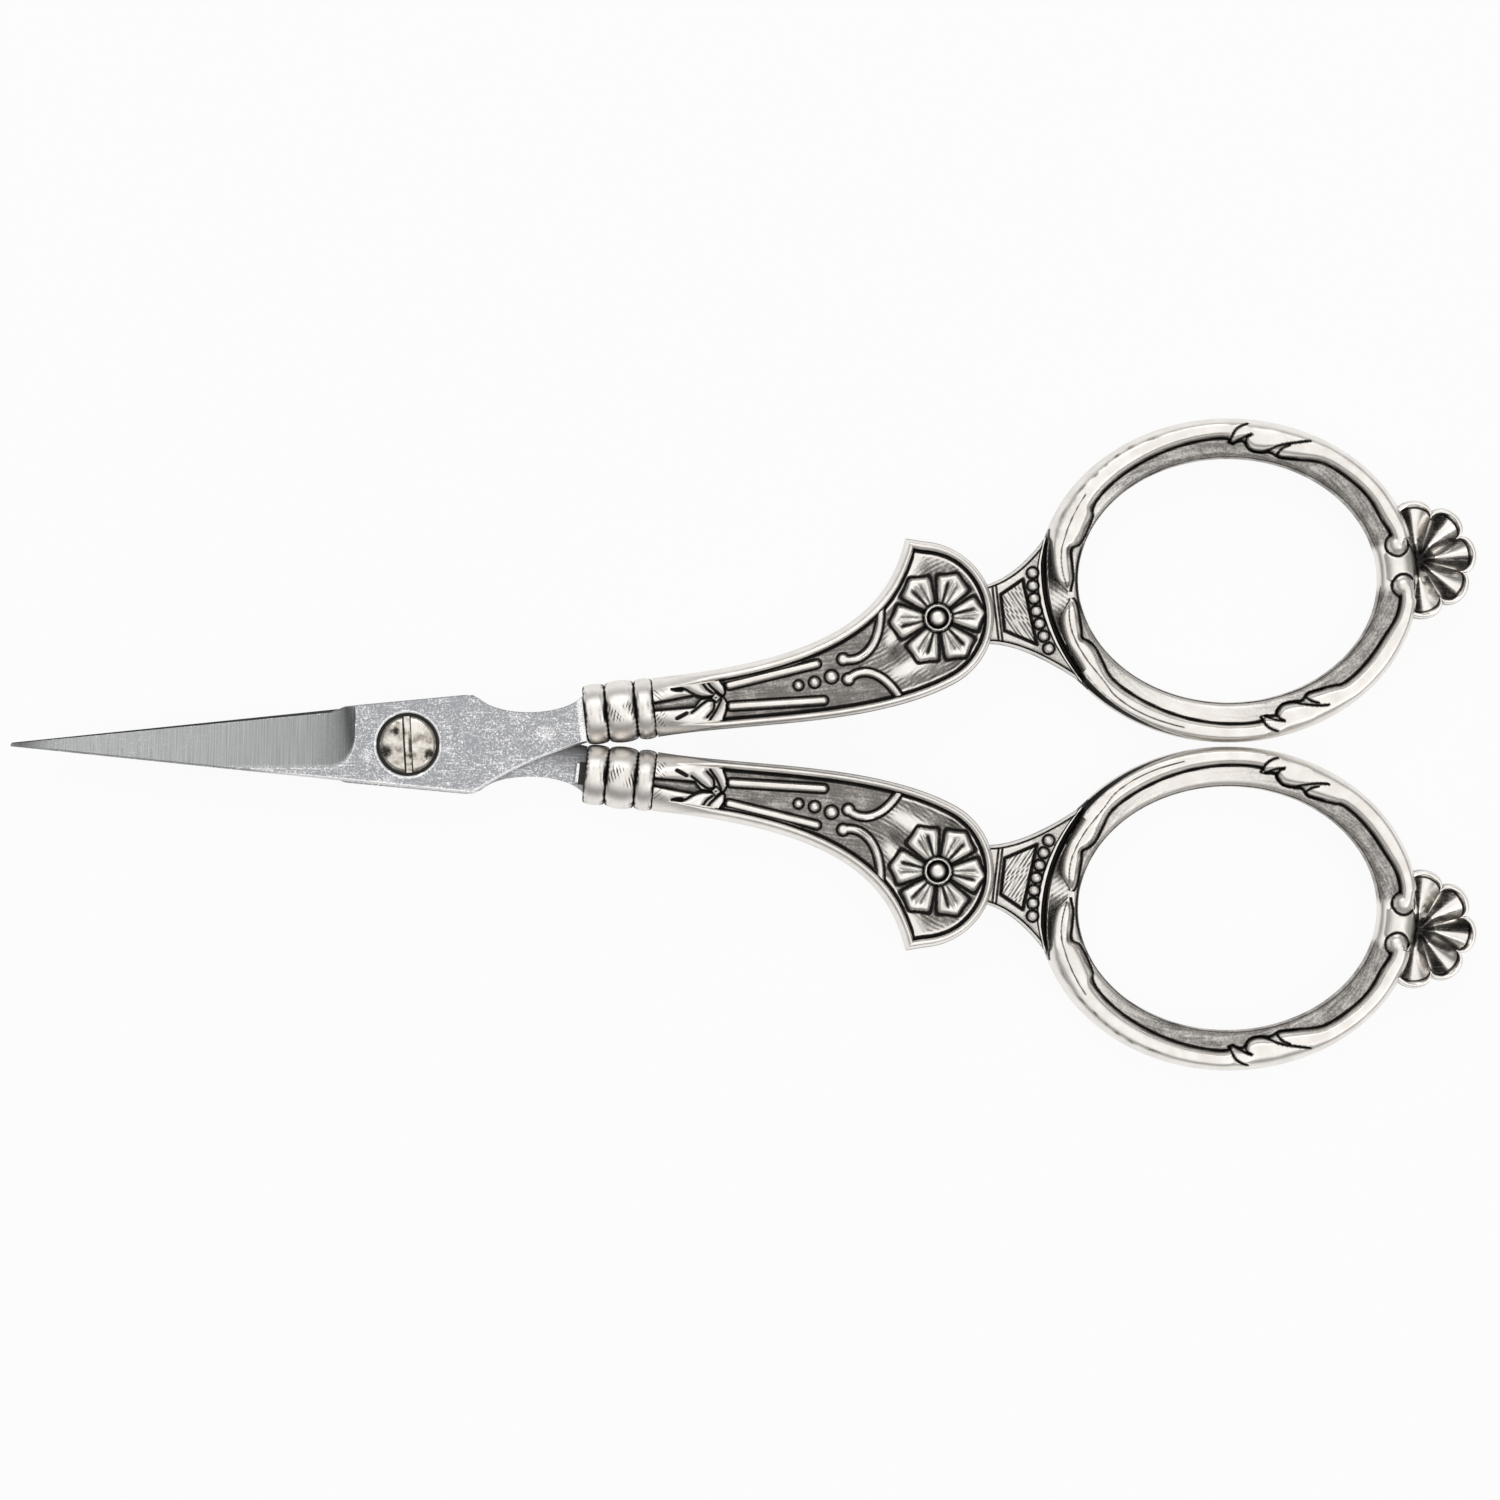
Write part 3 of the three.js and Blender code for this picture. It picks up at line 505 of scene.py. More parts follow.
def screw():
    end = [(0, -OUTER), (SCREW_RADIUS - HEAD_ROUND, -OUTER), (SCREW_RADIUS, HEAD_ROUND - OUTER)]
    neck = [(SCREW_RADIUS, HEAD_SEAT), (HEAD_RADIUS, HEAD_SEAT), (HEAD_RADIUS, OUTER - HEAD_ROUND)]
    face = HEAD_RADIUS - HEAD_ROUND
    crown = []
    for step in range(CROWN_STEPS + 1):
        share = 1 - step / CROWN_STEPS
        crown.append((face * share, OUTER + HEAD_CROWN * (1 - share**2)))
    slot = bmesh.new()
    turn = Matrix.Translation((0, 0, OUTER + HEAD_CROWN)) @ Matrix.Rotation(SLOT_TURN, 4, "Z")
    bmesh.ops.create_cube(slot, size=1)
    bmesh.ops.subdivide_edges(slot, edges=slot.edges, cuts=23, use_grid_fill=True)
    bmesh.ops.transform(slot, matrix=turn @ Matrix.Diagonal((*SLOT, 1)), verts=slot.verts)
    head = cut_away(placed("pivot_screw", turned(end + neck + crown)), slot)
    floor = OUTER + HEAD_CROWN - SLOT[2] / 2

    def head_shading_and_marks(x, y, z):
        # Painted shade along the slot's sides and on the shank, brown marks in the slot, and painted dark
        # reflections on the head.
        across, along = leaned(x, y, SLOT_TURN)
        marks = patch(across, along, SLOT_MARK, SLOT_MARK_HALF)
        sides = ramp(SLOT[0] / 2 - 0.2, SLOT[0] / 2 - 0.05, np.abs(across))
        in_slot = (z < floor + HEAD_ROUND / 2) & (np.abs(across) < SLOT[0] / 2 + 0.01)
        on_face = np.where(in_slot, np.maximum(sides, 0.85 * marks), 1.1 * spots(x, y, HEAD_DARK_REFLECTIONS))
        on_shank = (z > 2 * HEAD_ROUND - OUTER) & (z < floor - HEAD_ROUND)
        return np.where(on_shank, 1, on_face)

    return set_shading_and_marks(head, head_shading_and_marks)


def nickel(wire):
    """Nickel plate worn to a warm tint, with random darker smudges, brown marks in the slot, painted shade
    along the slot's sides and on the shank, and painted dark reflections on the head.
    """
    grime = wire.attribute("grime")
    worn = wire.noise("Object", even(0.9), detail=4, rough=0.65)
    fine = wire.noise("Object", even(5), detail=5, rough=0.75)
    tone = worn.step(0.36, 0.6)
    smudge = worn.step(0.46, 0.36) * 0.45 + (fine + worn * 0.3).step(0.8, 0.9) * 0.6
    shade_and_dirt = (grime + smudge * 0.8 + (fine - 0.5) * grime * 2.2).step(0.1, 0.9)
    plate = tone.mix((0.46, 0.42, 0.37, 1), (0.86, 0.82, 0.76, 1))
    return {
        "Base Color": shade_and_dirt.mix(plate, (0.03, 0.023, 0.017, 1)),
        "Metallic": 1.0 - shade_and_dirt * 0.4,
        "Roughness": 0.34 - tone * 0.12 + shade_and_dirt * 0.2,
        "Normal": (worn + fine * 0.2).bump(0.5, 0.1),
    }


dress("pivot_screw_head", screw(), shaded("screw_nickel", nickel), "rear_half", "pivot_screw")

# The ferrules: turned collars of a bead, a barrel and a bead over the joint of tang and handle, staked once
# in the front groove. They are silver plated and darkened like the handles, bright on the crests.
BANDS = ((0.0, 1.75, 2.10, 2.42), (1.75, 4.10, 2.05, 2.50), (4.10, 5.60, 2.05, 2.45))
CUP_RADIUS = 1.65
CUP_DEPTH = 0.25
BAND_STEPS = 40
GROOVE_SHADE = 0.16
GROOVE_BROWN = 0.5
FERRULE_RADIUS = 2.4
FERRULE_SKIN = 1.9  # radii above this are on the outside
BARREL_SCUFF = (3.1, -0.15)  # middle, along the barrel and across it
BARREL_SCUFF_HALF = (1.1, 0.75)
BARREL_SCUFF_PITCH = 0.27
STAKE = (1.66, -0.15)
STAKE_HALF = (0.13, 0.5)
STAKE_DEPTH = 0.25


def near(value, middle, reach):
    """1 at the middle, falling off over about the reach to both sides."""
    return np.exp(-(((value - middle) / reach) ** 2))


def ripple(value, pitch):
    """Even waves of this pitch."""
    return np.sin(value * 2 * math.pi / pitch)


def ferrule(name, side):
    along = [CUP_DEPTH, CUP_DEPTH, 0.05]
    radius = [0, CUP_RADIUS - 0.1, CUP_RADIUS]
    border = [0.08, 0.08, 0.08]
    for start, end, edge_radius, crest in BANDS:
        for turn in np.linspace(0, math.pi, BAND_STEPS):
            reach = start + (end - start) * (1 - math.cos(turn)) / 2
            along.append(reach)
            radius.append(edge_radius + (crest - edge_radius) * math.sin(turn) ** 0.7)
            border.append(min(reach - start, end - reach))
    along = np.array(along + [BANDS[-1][1]])
    radius = np.array(radius + [0])
    border = np.array(border + [0])
    turn = np.linspace(0, 2 * math.pi, TURN_STEPS * 2 + 1)[:, None]
    ragged = 1 + 0.35 * np.sin(4 * turn + 2) + 0.25 * np.sin(23 * turn + 4 * np.sin(3 * turn) + 3 * along)
    shade = near(border, 0, GROOVE_SHADE * ragged)
    shade = np.maximum(shade, 0.4 * np.exp(-border / (GROOVE_BROWN * ragged)))
    facing_shade = 0.75 * ramp(0.92, 1, -np.cos(turn))  # painted shade on the flank towards the other half
    x = along + 0 * turn
    y = radius * np.cos(turn)
    z = radius * np.sin(turn)
    stake = np.where(radius > FERRULE_SKIN, patch(x, y, STAKE, STAKE_HALF, 4), 0)
    shrink = 1 - STAKE_DEPTH * stake / FERRULE_RADIUS
    points = from_grip(np.stack([x, y * shrink, z * shrink], axis=-1))
    brush = np.stack([turn * FERRULE_RADIUS + 0 * along, along - turn * 0.4], axis=-1)
    scuff = patch(x, y, BARREL_SCUFF, BARREL_SCUFF_HALF, 4)
    hatch = np.clip(ripple(x - 0.35 * y, BARREL_SCUFF_PITCH), 0, 1)
    hatch = hatch * (0.5 + 0.5 * np.sin(2.7 * y + 3.6 * x))
    streaks = 0.12 * np.sin(x * 2 * math.pi / 0.43 + 0.9 * np.sin(3 * turn)) * np.sin(5 * turn + 2 * x)
    patina = np.maximum(np.maximum(shade, facing_shade) + streaks + 0.9 * scuff * hatch, stake)
    return sheet(name, into_frame(points, side), brush, patina=patina)


def antique_silver(wire, smooth=0.38):
    """Silver plate that is brushed bright where it stands up and left brown to black where it lies low."""
    patina = wire.attribute("patina")
    brush = wire.noise("UV", (0.35, 6, 1), detail=5, rough=0.7)
    cloud = wire.noise("Object", even(0.7), detail=3)
    fine = wire.noise("Object", even(6), detail=4, rough=0.7)
    uneven = (brush - 0.5) * 0.55 + (cloud - 0.5) * 0.4 + (fine - 0.5) * 0.5
    dark = (patina + uneven * (0.35 + patina)).step(0.04, 1.0)
    silver = cloud.step(0.3, 0.7).mix((0.82, 0.785, 0.74, 1), (0.925, 0.90, 0.865, 1))
    brown = dark.step(0.0, 0.5).mix(silver, (0.2, 0.185, 0.172, 1))
    return {
        "Base Color": dark.step(0.5, 0.95).mix(brown, (0.010, 0.009, 0.008, 1)),
        "Metallic": 1.0 - dark * 0.3,
        "Roughness": smooth + dark * 0.25 + brush.step(0.45, 0.8) * 0.1,
        "Normal": (brush + fine * 0.35).bump(0.2, 0.06),
    }


silver = shaded("antique_silver", antique_silver)
for side in ("front", "rear"):
    name = f"{side}_ferrule"
    dress(f"{name}_turned", ferrule(name, side), silver, f"{side}_half", name)

# The shank of each handle: a flat pistol shape, cast in one with the bow. A rounded rim runs round its edge
# and a black groove parts the rim from the sunk face, on the front and on the back alike.
HALF_THICKNESS = 2.6
ROOT = 5.63
ROOT_HALF_WIDTH = 2.35
ROOT_RADIUS = 2.42
ROOT_FLARE = 0.183  # growth of the turned root's radius along the shank
ROOT_BLEND = (10, 13)
ROOT_SOFT = 0.4
BELLY = 0.8
DISC = np.array((27.3, 4.9))
DISC_RADIUS = 6.05
DISC_START = -68
DISC_END = 80
HOOK = np.array((26.97, 11.25))
THIRD = (DISC[0] - ROOT) / 3
LOWER_RIM = 0.74  # width of the rim along the belly and round the disc
UPPER_RIM = 0.95
HOOK_RIM = 0.84
HOOK_SHARE = (5, 1.5)  # distances from the hook between which the widths become one
RIM_SIDE = 1.1  # height of the straight part of the edge
RIM_CREST = 0.5  # share of the rim's width
UPPER_CREST = 0.7  # and along the hollow edge, where the flank is wide
RIM_FALL = 0.45
RIM_FOOT = 0.9  # share of the width where the rounding ends in the groove
RIM_UNDER = 1.15  # and to which the groove's floor runs in under the face
SIDE_TONE = 0.42  # patina and painted shade on the straight part of the edge
UPPER_TONE = 0.42  # share of that along the hollow edge; the belly edge, towards the other half, keeps it all as painted shade
GROOVE_FLOOR = 1.8
CALYX_END = 11.05
CALYX_TOP = 2.3

disc_turn = np.radians(np.linspace(DISC_START, DISC_END, 170))
disc_edge = DISC + DISC_RADIUS * np.column_stack([np.cos(disc_turn), np.sin(disc_turn)])
disc_way = np.array((math.sin(disc_turn[0]), -math.cos(disc_turn[0])))
lower_edge = np.vstack(
    [
        curve(
            (ROOT, -ROOT_HALF_WIDTH),
            (ROOT + THIRD, BELLY / 2 - ROOT_HALF_WIDTH),
            disc_edge[0] + THIRD * disc_way,
            disc_edge[0],
            steps=260,
        )[:-1],
        disc_edge,
        curve(disc_edge[-1], HOOK, steps=18)[1:],
    ]
)
upper_edge = curve(
    HOOK,
    (HOOK[0] - THIRD / 3, DISC[1] - BELLY),
    (ROOT + 1.6 * THIRD, ROOT_HALF_WIDTH),
    (ROOT, ROOT_HALF_WIDTH),
    steps=260,
)


def ways(path):
    """Unit steps along a path."""
    step = np.gradient(path, axis=0)
    return step / np.hypot(*step.T)[:, None]


hook_way = ways(lower_edge)[-1] + ways(upper_edge)[0]


def inset(path, distance):
    """The shank's lower or upper edge moved inwards, and mitred with the other one at the hook."""
    way = ways(path)
    moved = path + np.column_stack([-distance * way[:, 1], distance * way[:, 0]])
    past = (moved - HOOK) @ hook_way * (1 if path is lower_edge else -1)
    by_hook = np.hypot(*(path - HOOK).T) < 3 * DISC_RADIUS / 4
    back = np.where(by_hook & (past > 0), (moved - HOOK) @ hook_way / (way @ hook_way), 0)
    return moved - back[:, None] * way


def rim_width(path):
    usual = LOWER_RIM if path is lower_edge else UPPER_RIM
    return usual + (HOOK_RIM - usual) * ramp(*HOOK_SHARE, np.hypot(*(path - HOOK).T))


def root_cap(x, y, z):
    """Heights on the shank brought down to the turned root, which grows out of the ferrule."""
    radius = ROOT_RADIUS + ROOT_FLARE * (x - ROOT)
    cap = np.sqrt(np.clip(radius**2 - y**2, 0.05, None)) + HALF_THICKNESS * ramp(*ROOT_BLEND, x)
    blend = np.clip(0.5 + (cap - z) / ROOT_SOFT, 0, 1)
    return cap + (z - cap) * blend - ROOT_SOFT / 2 * blend * (1 - blend)


def rim(name, side):
    quarter = np.linspace(0, math.pi / 2, 11)
    depth = [0, 0, *(RIM_CREST * (1 - np.cos(quarter)))]
    height = [0, RIM_SIDE / 2, *(RIM_SIDE + (HALF_THICKNESS - RIM_SIDE) * np.sin(quarter))]
    dark = [SIDE_TONE, SIDE_TONE, *(0.5 * ramp(0.92, 0.45, np.sin(quarter)))]
    depth += [*(RIM_CREST + (RIM_FOOT - RIM_CREST) * np.sin(quarter[1:])), 1, RIM_UNDER]
    height += [*(HALF_THICKNESS - RIM_FALL * (1 - np.cos(quarter[1:]))), GROOVE_FLOOR, GROOVE_FLOOR]
    dark += [*ramp(0.5, 1, np.sin(quarter[1:])) ** 4, 1, 1]
    front = list(zip(depth, height, dark))
    back = [(deep, -high, shade) for deep, high, shade in front[:0:-1]]
    edges = (lower_edge, upper_edge)
    width = np.concatenate([rim_width(edge) for edge in edges])
    # The belly edge, towards the other half, is darker than the hollow edge: painted shade.
    flank = np.concatenate([np.full(len(edge), share) for edge, share in zip(edges, (1, UPPER_TONE))])
    step = np.gradient(np.vstack(edges), axis=0)
    run = np.cumsum(np.hypot(*step.T))
    grid, patina, brush = [], [], []
    for deep, high, shade in front + back + front[:1]:
        upper_deep = np.interp(deep, (0, RIM_CREST, 1, RIM_UNDER), (0, UPPER_CREST, 1, RIM_UNDER))
        shares = (deep, upper_deep)
        line = np.vstack([inset(edge, share * rim_width(edge)) for edge, share in zip(edges, shares)])
        raised = RIM_CREST < deep <= 1
        cut = ramp(CALYX_END - 0.5, CALYX_END + 0.1, line[:, 0])
        level = abs(high) + 0 * cut
        level = np.maximum(level, CALYX_TOP + (level - CALYX_TOP) * cut) if raised else level
        level = root_cap(line[:, 0], line[:, 1], level) * np.sign(high)
        grid.append(np.column_stack([line, level]))
        patina.append(shade * (cut if raised else flank))
        brush.append(np.column_stack([run, deep * width]))
    points = into_frame(from_grip(np.array(grid)), side)
    return sheet(name, points, np.array(brush), patina=np.array(patina))


# The face of the shank: a sunk panel with two bars and three beads, two scrolls that part it from the
# rosette on the disc, and a leaf calyx where the shank leaves the ferrule. It is one relief, cast with the
# shank.
FACE_COLUMNS = 370
FACE_END_COLUMNS = 26
FACE_END = 0.9
FACE_ROWS = 142
PANEL = 1.95
DISH = 1.9
DISH_RISE = 0.2
LINE = 0.18
LINE_DEPTH = 0.12
BAR_RADIUS = 0.3
BARS = (((11.7, 1.12), (18.8, 2.06)), ((11.7, -0.56), (19.05, -0.9)))
BEADS = ((19.88, 0.91, 0.47), (18.5, 0.62, 0.39), (17.2, 0.52, 0.33))
SCROLL_RADIUS = 0.27
CURL_RADIUS = 0.41
UPPER_SCROLL = ((24.35, 6.2), (24.2, 2.9), (22.4, 1.65), (20.95, 2.2))
LOWER_SCROLL = ((25.4, -2.1), (24.3, 1.05), (22.3, 1.5), (21.2, 0.57))
PANEL_TONE = 0.47
CALYX_POLISH = 0.45
PARTING = {  # where the panel ends and the disc starts, by height
    -1.36: 25.15, 0.1: 24.47, 0.94: 23.55, 1.25: 22.39, 1.94: 22.0, 2.64: 23.19, 3.84: 24.05, 5.4: 24.33,
}
ROSETTE = (28.8, 4.66)
DISC_REFLECTIONS = (  # painted reflections on the dished disc, light and dark: middle, half length and width, lean, and how bright
    (27.2, 9.2, 1.3, 0.6, 1.2, 0.42),
    (25.0, 3.5, 0.6, 0.4, 0.9, 0.42),
    (25.2, 2.3, 0.7, 0.5, 0.9, -0.2),
    (26.4, 1.1, 1.9, 0.5, 0.35, 0.5),
    (27.6, -0.5, 1.8, 0.5, 0.3, -0.15),
    (28.4, 9.5, 1.6, 0.5, -0.3, 0.12),
    (29.9, 0.6, 1.2, 0.5, 0.5, -0.2),
    (32.6, 2.3, 1.2, 0.4, 0.9, 0.4),
)
PETALS = 6
PETAL_ROOT = 1.0
PETAL_ROOT_HALF_WIDTH = 0.43
PETAL_CORNER = (3.1, 1.44)
PETAL_TIP = 4.0
PETAL_TIP_ROUND = 0.22
PETAL_HOLLOW = 0.14  # how far the end curves in between corner and tip
PETAL_RISE = 0.46
PETAL_EDGE = 0.4  # width of the rounded edge
PETAL_RIDGE = 0.12
PETAL_ROUND = 5.5  # the higher, the sharper the corners
BOSS_RADIUS = 0.7
COLLAR_RADIUS = 0.96
KNOT = (10.57, 0.25)
STEM_UPPER = {5.7: 0.35, 8.87: 0.61, 9.36: 0.34}
STEM_LOWER = {5.7: -0.24, 8.82: -0.31, 9.36: 0.28}
CALYX_BORDER = {  # where the calyx ends and the panel starts, by height
    -1.44: 11.0, -0.88: 11.26, -0.33: 11.42, 0.04: 11.26, 0.26: 11.13, 0.5: 11.31, 1.0: 11.31, 1.82: 10.89,
}
CALYX_LINES = (
    ((7.22, 1.35), (7.68, 1.35), (8.27, 1.13), (8.74, 0.77), (9.42, 0.44), (10.28, 0.36)),
    ((10.28, 0.05), (9.89, 0.09), (9.46, -0.12), (8.91, -0.47), (8.52, -0.73)),
    ((9.60, 1.70), (9.95, 1.61), (10.26, 1.17), (10.71, 0.66), (11.09, 0.31)),
    ((9.59, 1.60), (9.89, 1.06), (10.31, 0.65)),
    ((10.39, -0.02), (10.26, -0.67), (9.69, -1.22)),
    ((10.96, 0.07), (10.52, -0.70), (9.93, -1.40)),
)
CALYX_EYES = (
    ((7.2, 1.32), (7.5, 1.2), (7.9, 1.16)),
    ((7.3, -1.08), (7.6, -0.96), (8.1, -0.74)),
)
CALYX_STROKES = 0.35  # spacing of the nicks beside the ferrule
DISC_STROKES = 0.34  # and of the brush strokes on the disc
FAR = 9  # a distance that no line reaches


def through(points, steps=8):
    """A smooth path through these points."""
    points = np.array(points, float)
    longer = np.vstack([2 * points[0] - points[1], points, 2 * points[-1] - points[-2]])[:, None]
    before, start, end, after = longer[:-3], longer[1:-2], longer[2:-1], longer[3:]
    share = np.linspace(0, 1, steps, endpoint=False)[None, :, None]
    bend = (2 * before - 5 * start + 4 * end - after) / 2
    twist = (3 * start - 3 * end + after - before) / 2
    path = start + share * ((end - before) / 2 + share * (bend + share * twist))
    return np.vstack([path.reshape(-1, points.shape[1]), points[-1:]])


def distance_to(x, y, path):
    """Distance from each point to a path of straight steps."""
    nearest = np.full(x.shape, np.inf)
    for (start_x, start_y), (end_x, end_y) in zip(path, path[1:]):
        run_x, run_y = end_x - start_x, end_y - start_y
        off_x, off_y = x - start_x, y - start_y
        share = np.clip((off_x * run_x + off_y * run_y) / (run_x**2 + run_y**2), 0, 1)
        nearest = np.minimum(nearest, np.hypot(off_x - share * run_x, off_y - share * run_y))
    return nearest


class Relief:
    """Heights and patina over the points of one face of a casting, built up ornament by ornament."""

    def __init__(self, floor, patina):
        self.floor = floor
        self.height = floor.copy()
        self.patina = patina.copy()

    def darken(self, shade):
        self.patina = np.maximum(self.patina, shade)

    def line(self, distance, width=LINE, depth=LINE_DEPTH, shade=1.0):
        """A dark line cut where the distance is nothing."""
        cut = np.exp(-((distance / (0.6 * width)) ** 4))
        self.height = self.height - depth * cut
        self.darken(shade * cut)

    def ridge(self, distance, radius, rise, tone=0.04):
        """A rounded ridge over everything nearer than radius, with a black line in the corner beside it."""
        self.line(distance - radius - LINE / 3)
        inside = distance < radius
        swell = rise * arched(distance / radius, 3)
        self.height = np.where(inside, np.maximum(self.height, self.floor + swell), self.height)
        self.patina = np.where(inside, tone, self.patina)


def quarter_round(distance, radius):
    """Rises like a quarter circle, from 0 at an edge to 1 from the radius on."""
    return arched(1 - np.clip(distance / radius, 0, 1))


def follow(marks, value):
    """The number that the marks give for each value, straight between them."""
    return np.interp(value, list(marks), list(marks.values()))


def add_panel(relief, x, y):
    """Bars and beads on the panel, and the scrolls at its end, each with a round curl."""
    for bar in BARS:
        relief.ridge(distance_to(x, y, bar), BAR_RADIUS, 0.42)
    for bead_x, bead_y, radius in BEADS:
        relief.ridge(np.hypot(x - bead_x, y - bead_y), radius, 0.4)
    for controls in (UPPER_SCROLL, LOWER_SCROLL):
        path = curve(*controls, steps=24)
        curl = np.hypot(x - path[-1, 0], y - path[-1, 1]) - (CURL_RADIUS - SCROLL_RADIUS)
        relief.ridge(np.minimum(distance_to(x, y, path), np.clip(curl, 0, None)), SCROLL_RADIUS, 0.4)


def add_rosette(relief, x, y):
    """Six petals round a boss in a collar, each with a blunt point and a ridge between two hollows."""
    away = np.hypot(x - ROSETTE[0], y - ROSETTE[1])
    sector = 2 * math.pi / PETALS
    turn = (np.arctan2(y - ROSETTE[1], x - ROSETTE[0]) + sector / 2) % sector - sector / 2
    along = away * np.cos(turn)
    across = np.abs(away * np.sin(turn))
    reach, widest = PETAL_CORNER
    spread = (widest - PETAL_ROOT_HALF_WIDTH) / (reach - PETAL_ROOT)
    half = PETAL_ROOT_HALF_WIDTH + spread * (along - PETAL_ROOT)
    share = np.hypot(across, PETAL_TIP_ROUND) / widest
    end = PETAL_TIP - (PETAL_TIP - reach) * share - PETAL_HOLLOW * np.sin(math.pi * share)
    inside = -np.logaddexp(PETAL_ROUND * (across - half), PETAL_ROUND * (along - end)) / PETAL_ROUND
    inside = np.minimum(0.9 * inside, along - PETAL_ROOT)
    relief.line(inside + LINE / 2, width=0.25)
    ridge = near(across, 0, PETAL_RIDGE)
    hollow = ramp(0.3, 0.8, inside) * (1 - ridge)
    swell = PETAL_RISE * quarter_round(inside, PETAL_EDGE) - 0.16 * hollow
    petal = inside > 0
    relief.height = np.where(petal, relief.floor + swell, relief.height)
    # Painted shade: a dark streak beside each petal's ridge, deeper on one side, and darker towards the root.
    one_side = ramp(-0.02, 0.02, np.sin(turn))
    streak = near(across, 0.13 * along, 0.07 + 0.045 * along) * ramp(3.3, 2.7, along)
    streak = streak * (0.55 + 0.4 * one_side)
    root_shade = 0.35 * ramp(1.9, 1.1, along)
    relief.patina = np.where(petal, np.maximum(0.02 + root_shade, streak), relief.patina)
    relief.ridge(np.abs(away - COLLAR_RADIUS), 0.14, 0.4, tone=0)
    relief.ridge(away, BOSS_RADIUS, 0.58)
    # Painted shade towards the boss's edge.
    relief.darken(0.7 * ramp(0.3, BOSS_RADIUS, away) * (away < BOSS_RADIUS))


def add_calyx(relief, x, y, on_calyx):
    """Two leaves that curl out from a stem, with a knot where they meet the panel."""
    relief.line(x - follow(CALYX_BORDER, y), width=0.16)
    in_stem = np.minimum(follow(STEM_UPPER, x) - y, y - follow(STEM_LOWER, x))
    slot = ramp(-0.05, 0.12, in_stem) * on_calyx
    paths = [through(points) for points in CALYX_LINES]
    nearest = np.minimum.reduce([distance_to(x, y, path) for path in paths])
    nearest = np.minimum(nearest, np.abs(in_stem))
    relief.height = relief.height + 0.2 * on_calyx * (1 - near(nearest, 0, 0.3)) - 0.3 * slot
    relief.darken(0.43 * slot)
    relief.line(np.where(on_calyx > 0, nearest, FAR), width=0.18)
    for eye in CALYX_EYES:
        relief.line(distance_to(x, y, through(eye)), width=0.26, depth=0.2)
    corner = np.abs(x - KNOT[0]) + np.abs(y - KNOT[1])
    relief.ridge(corner, 0.34, 0.25)
    relief.line(corner, width=0.16)


def face_grid():
    """Columns across the shank, closer together at its end, and the rim's inner border below and above."""
    border = inset(lower_edge, rim_width(lower_edge))
    turning = border[:, 0].argmax()
    high_border = np.vstack([border[turning:], inset(upper_edge, rim_width(upper_edge))])[::-1]
    last = border[turning, 0]
    swing = np.sin(np.linspace(0, math.pi / 2, FACE_END_COLUMNS + 1)[1:])
    straight = np.linspace(ROOT, last - FACE_END, FACE_COLUMNS)
    columns = np.concatenate([straight, last - FACE_END * (1 - swing)])
    return columns, np.interp(columns, *border[: turning + 1].T), np.interp(columns, *high_border.T)


def face_patina(x, y, on_disc, on_calyx):
    """Brown on the panel, brush strokes and painted reflections in spots on the disc, and bright with nicks
    on the calyx.
    """
    brightening = 0
    for spot_x, spot_y, length, width, lean, share in DISC_REFLECTIONS:
        along, across = leaned(x - spot_x, y - spot_y, lean)
        brightening = brightening + share * patch(along, across, (0, 0), (length, width))
    nicks = ripple(x + np.abs(y), CALYX_STROKES) * np.sin(3 * y + 4 * x)
    near_ferrule = ramp(7.2, 6.0, x) * (0.1 + 0.5 * np.clip(nicks, 0, 1))
    swerve = 2 * np.sin(1.3 * x + 0.6 * y)
    strokes = np.sin((0.9 * y - 0.42 * x) * 2 * math.pi / DISC_STROKES + swerve)
    strokes = strokes * (0.5 + 0.5 * np.sin(2.3 * x + 3.1 * np.sin(1.9 * y)))
    return PANEL_TONE + (0.11 * strokes - brightening) * on_disc - (CALYX_POLISH - near_ferrule) * on_calyx


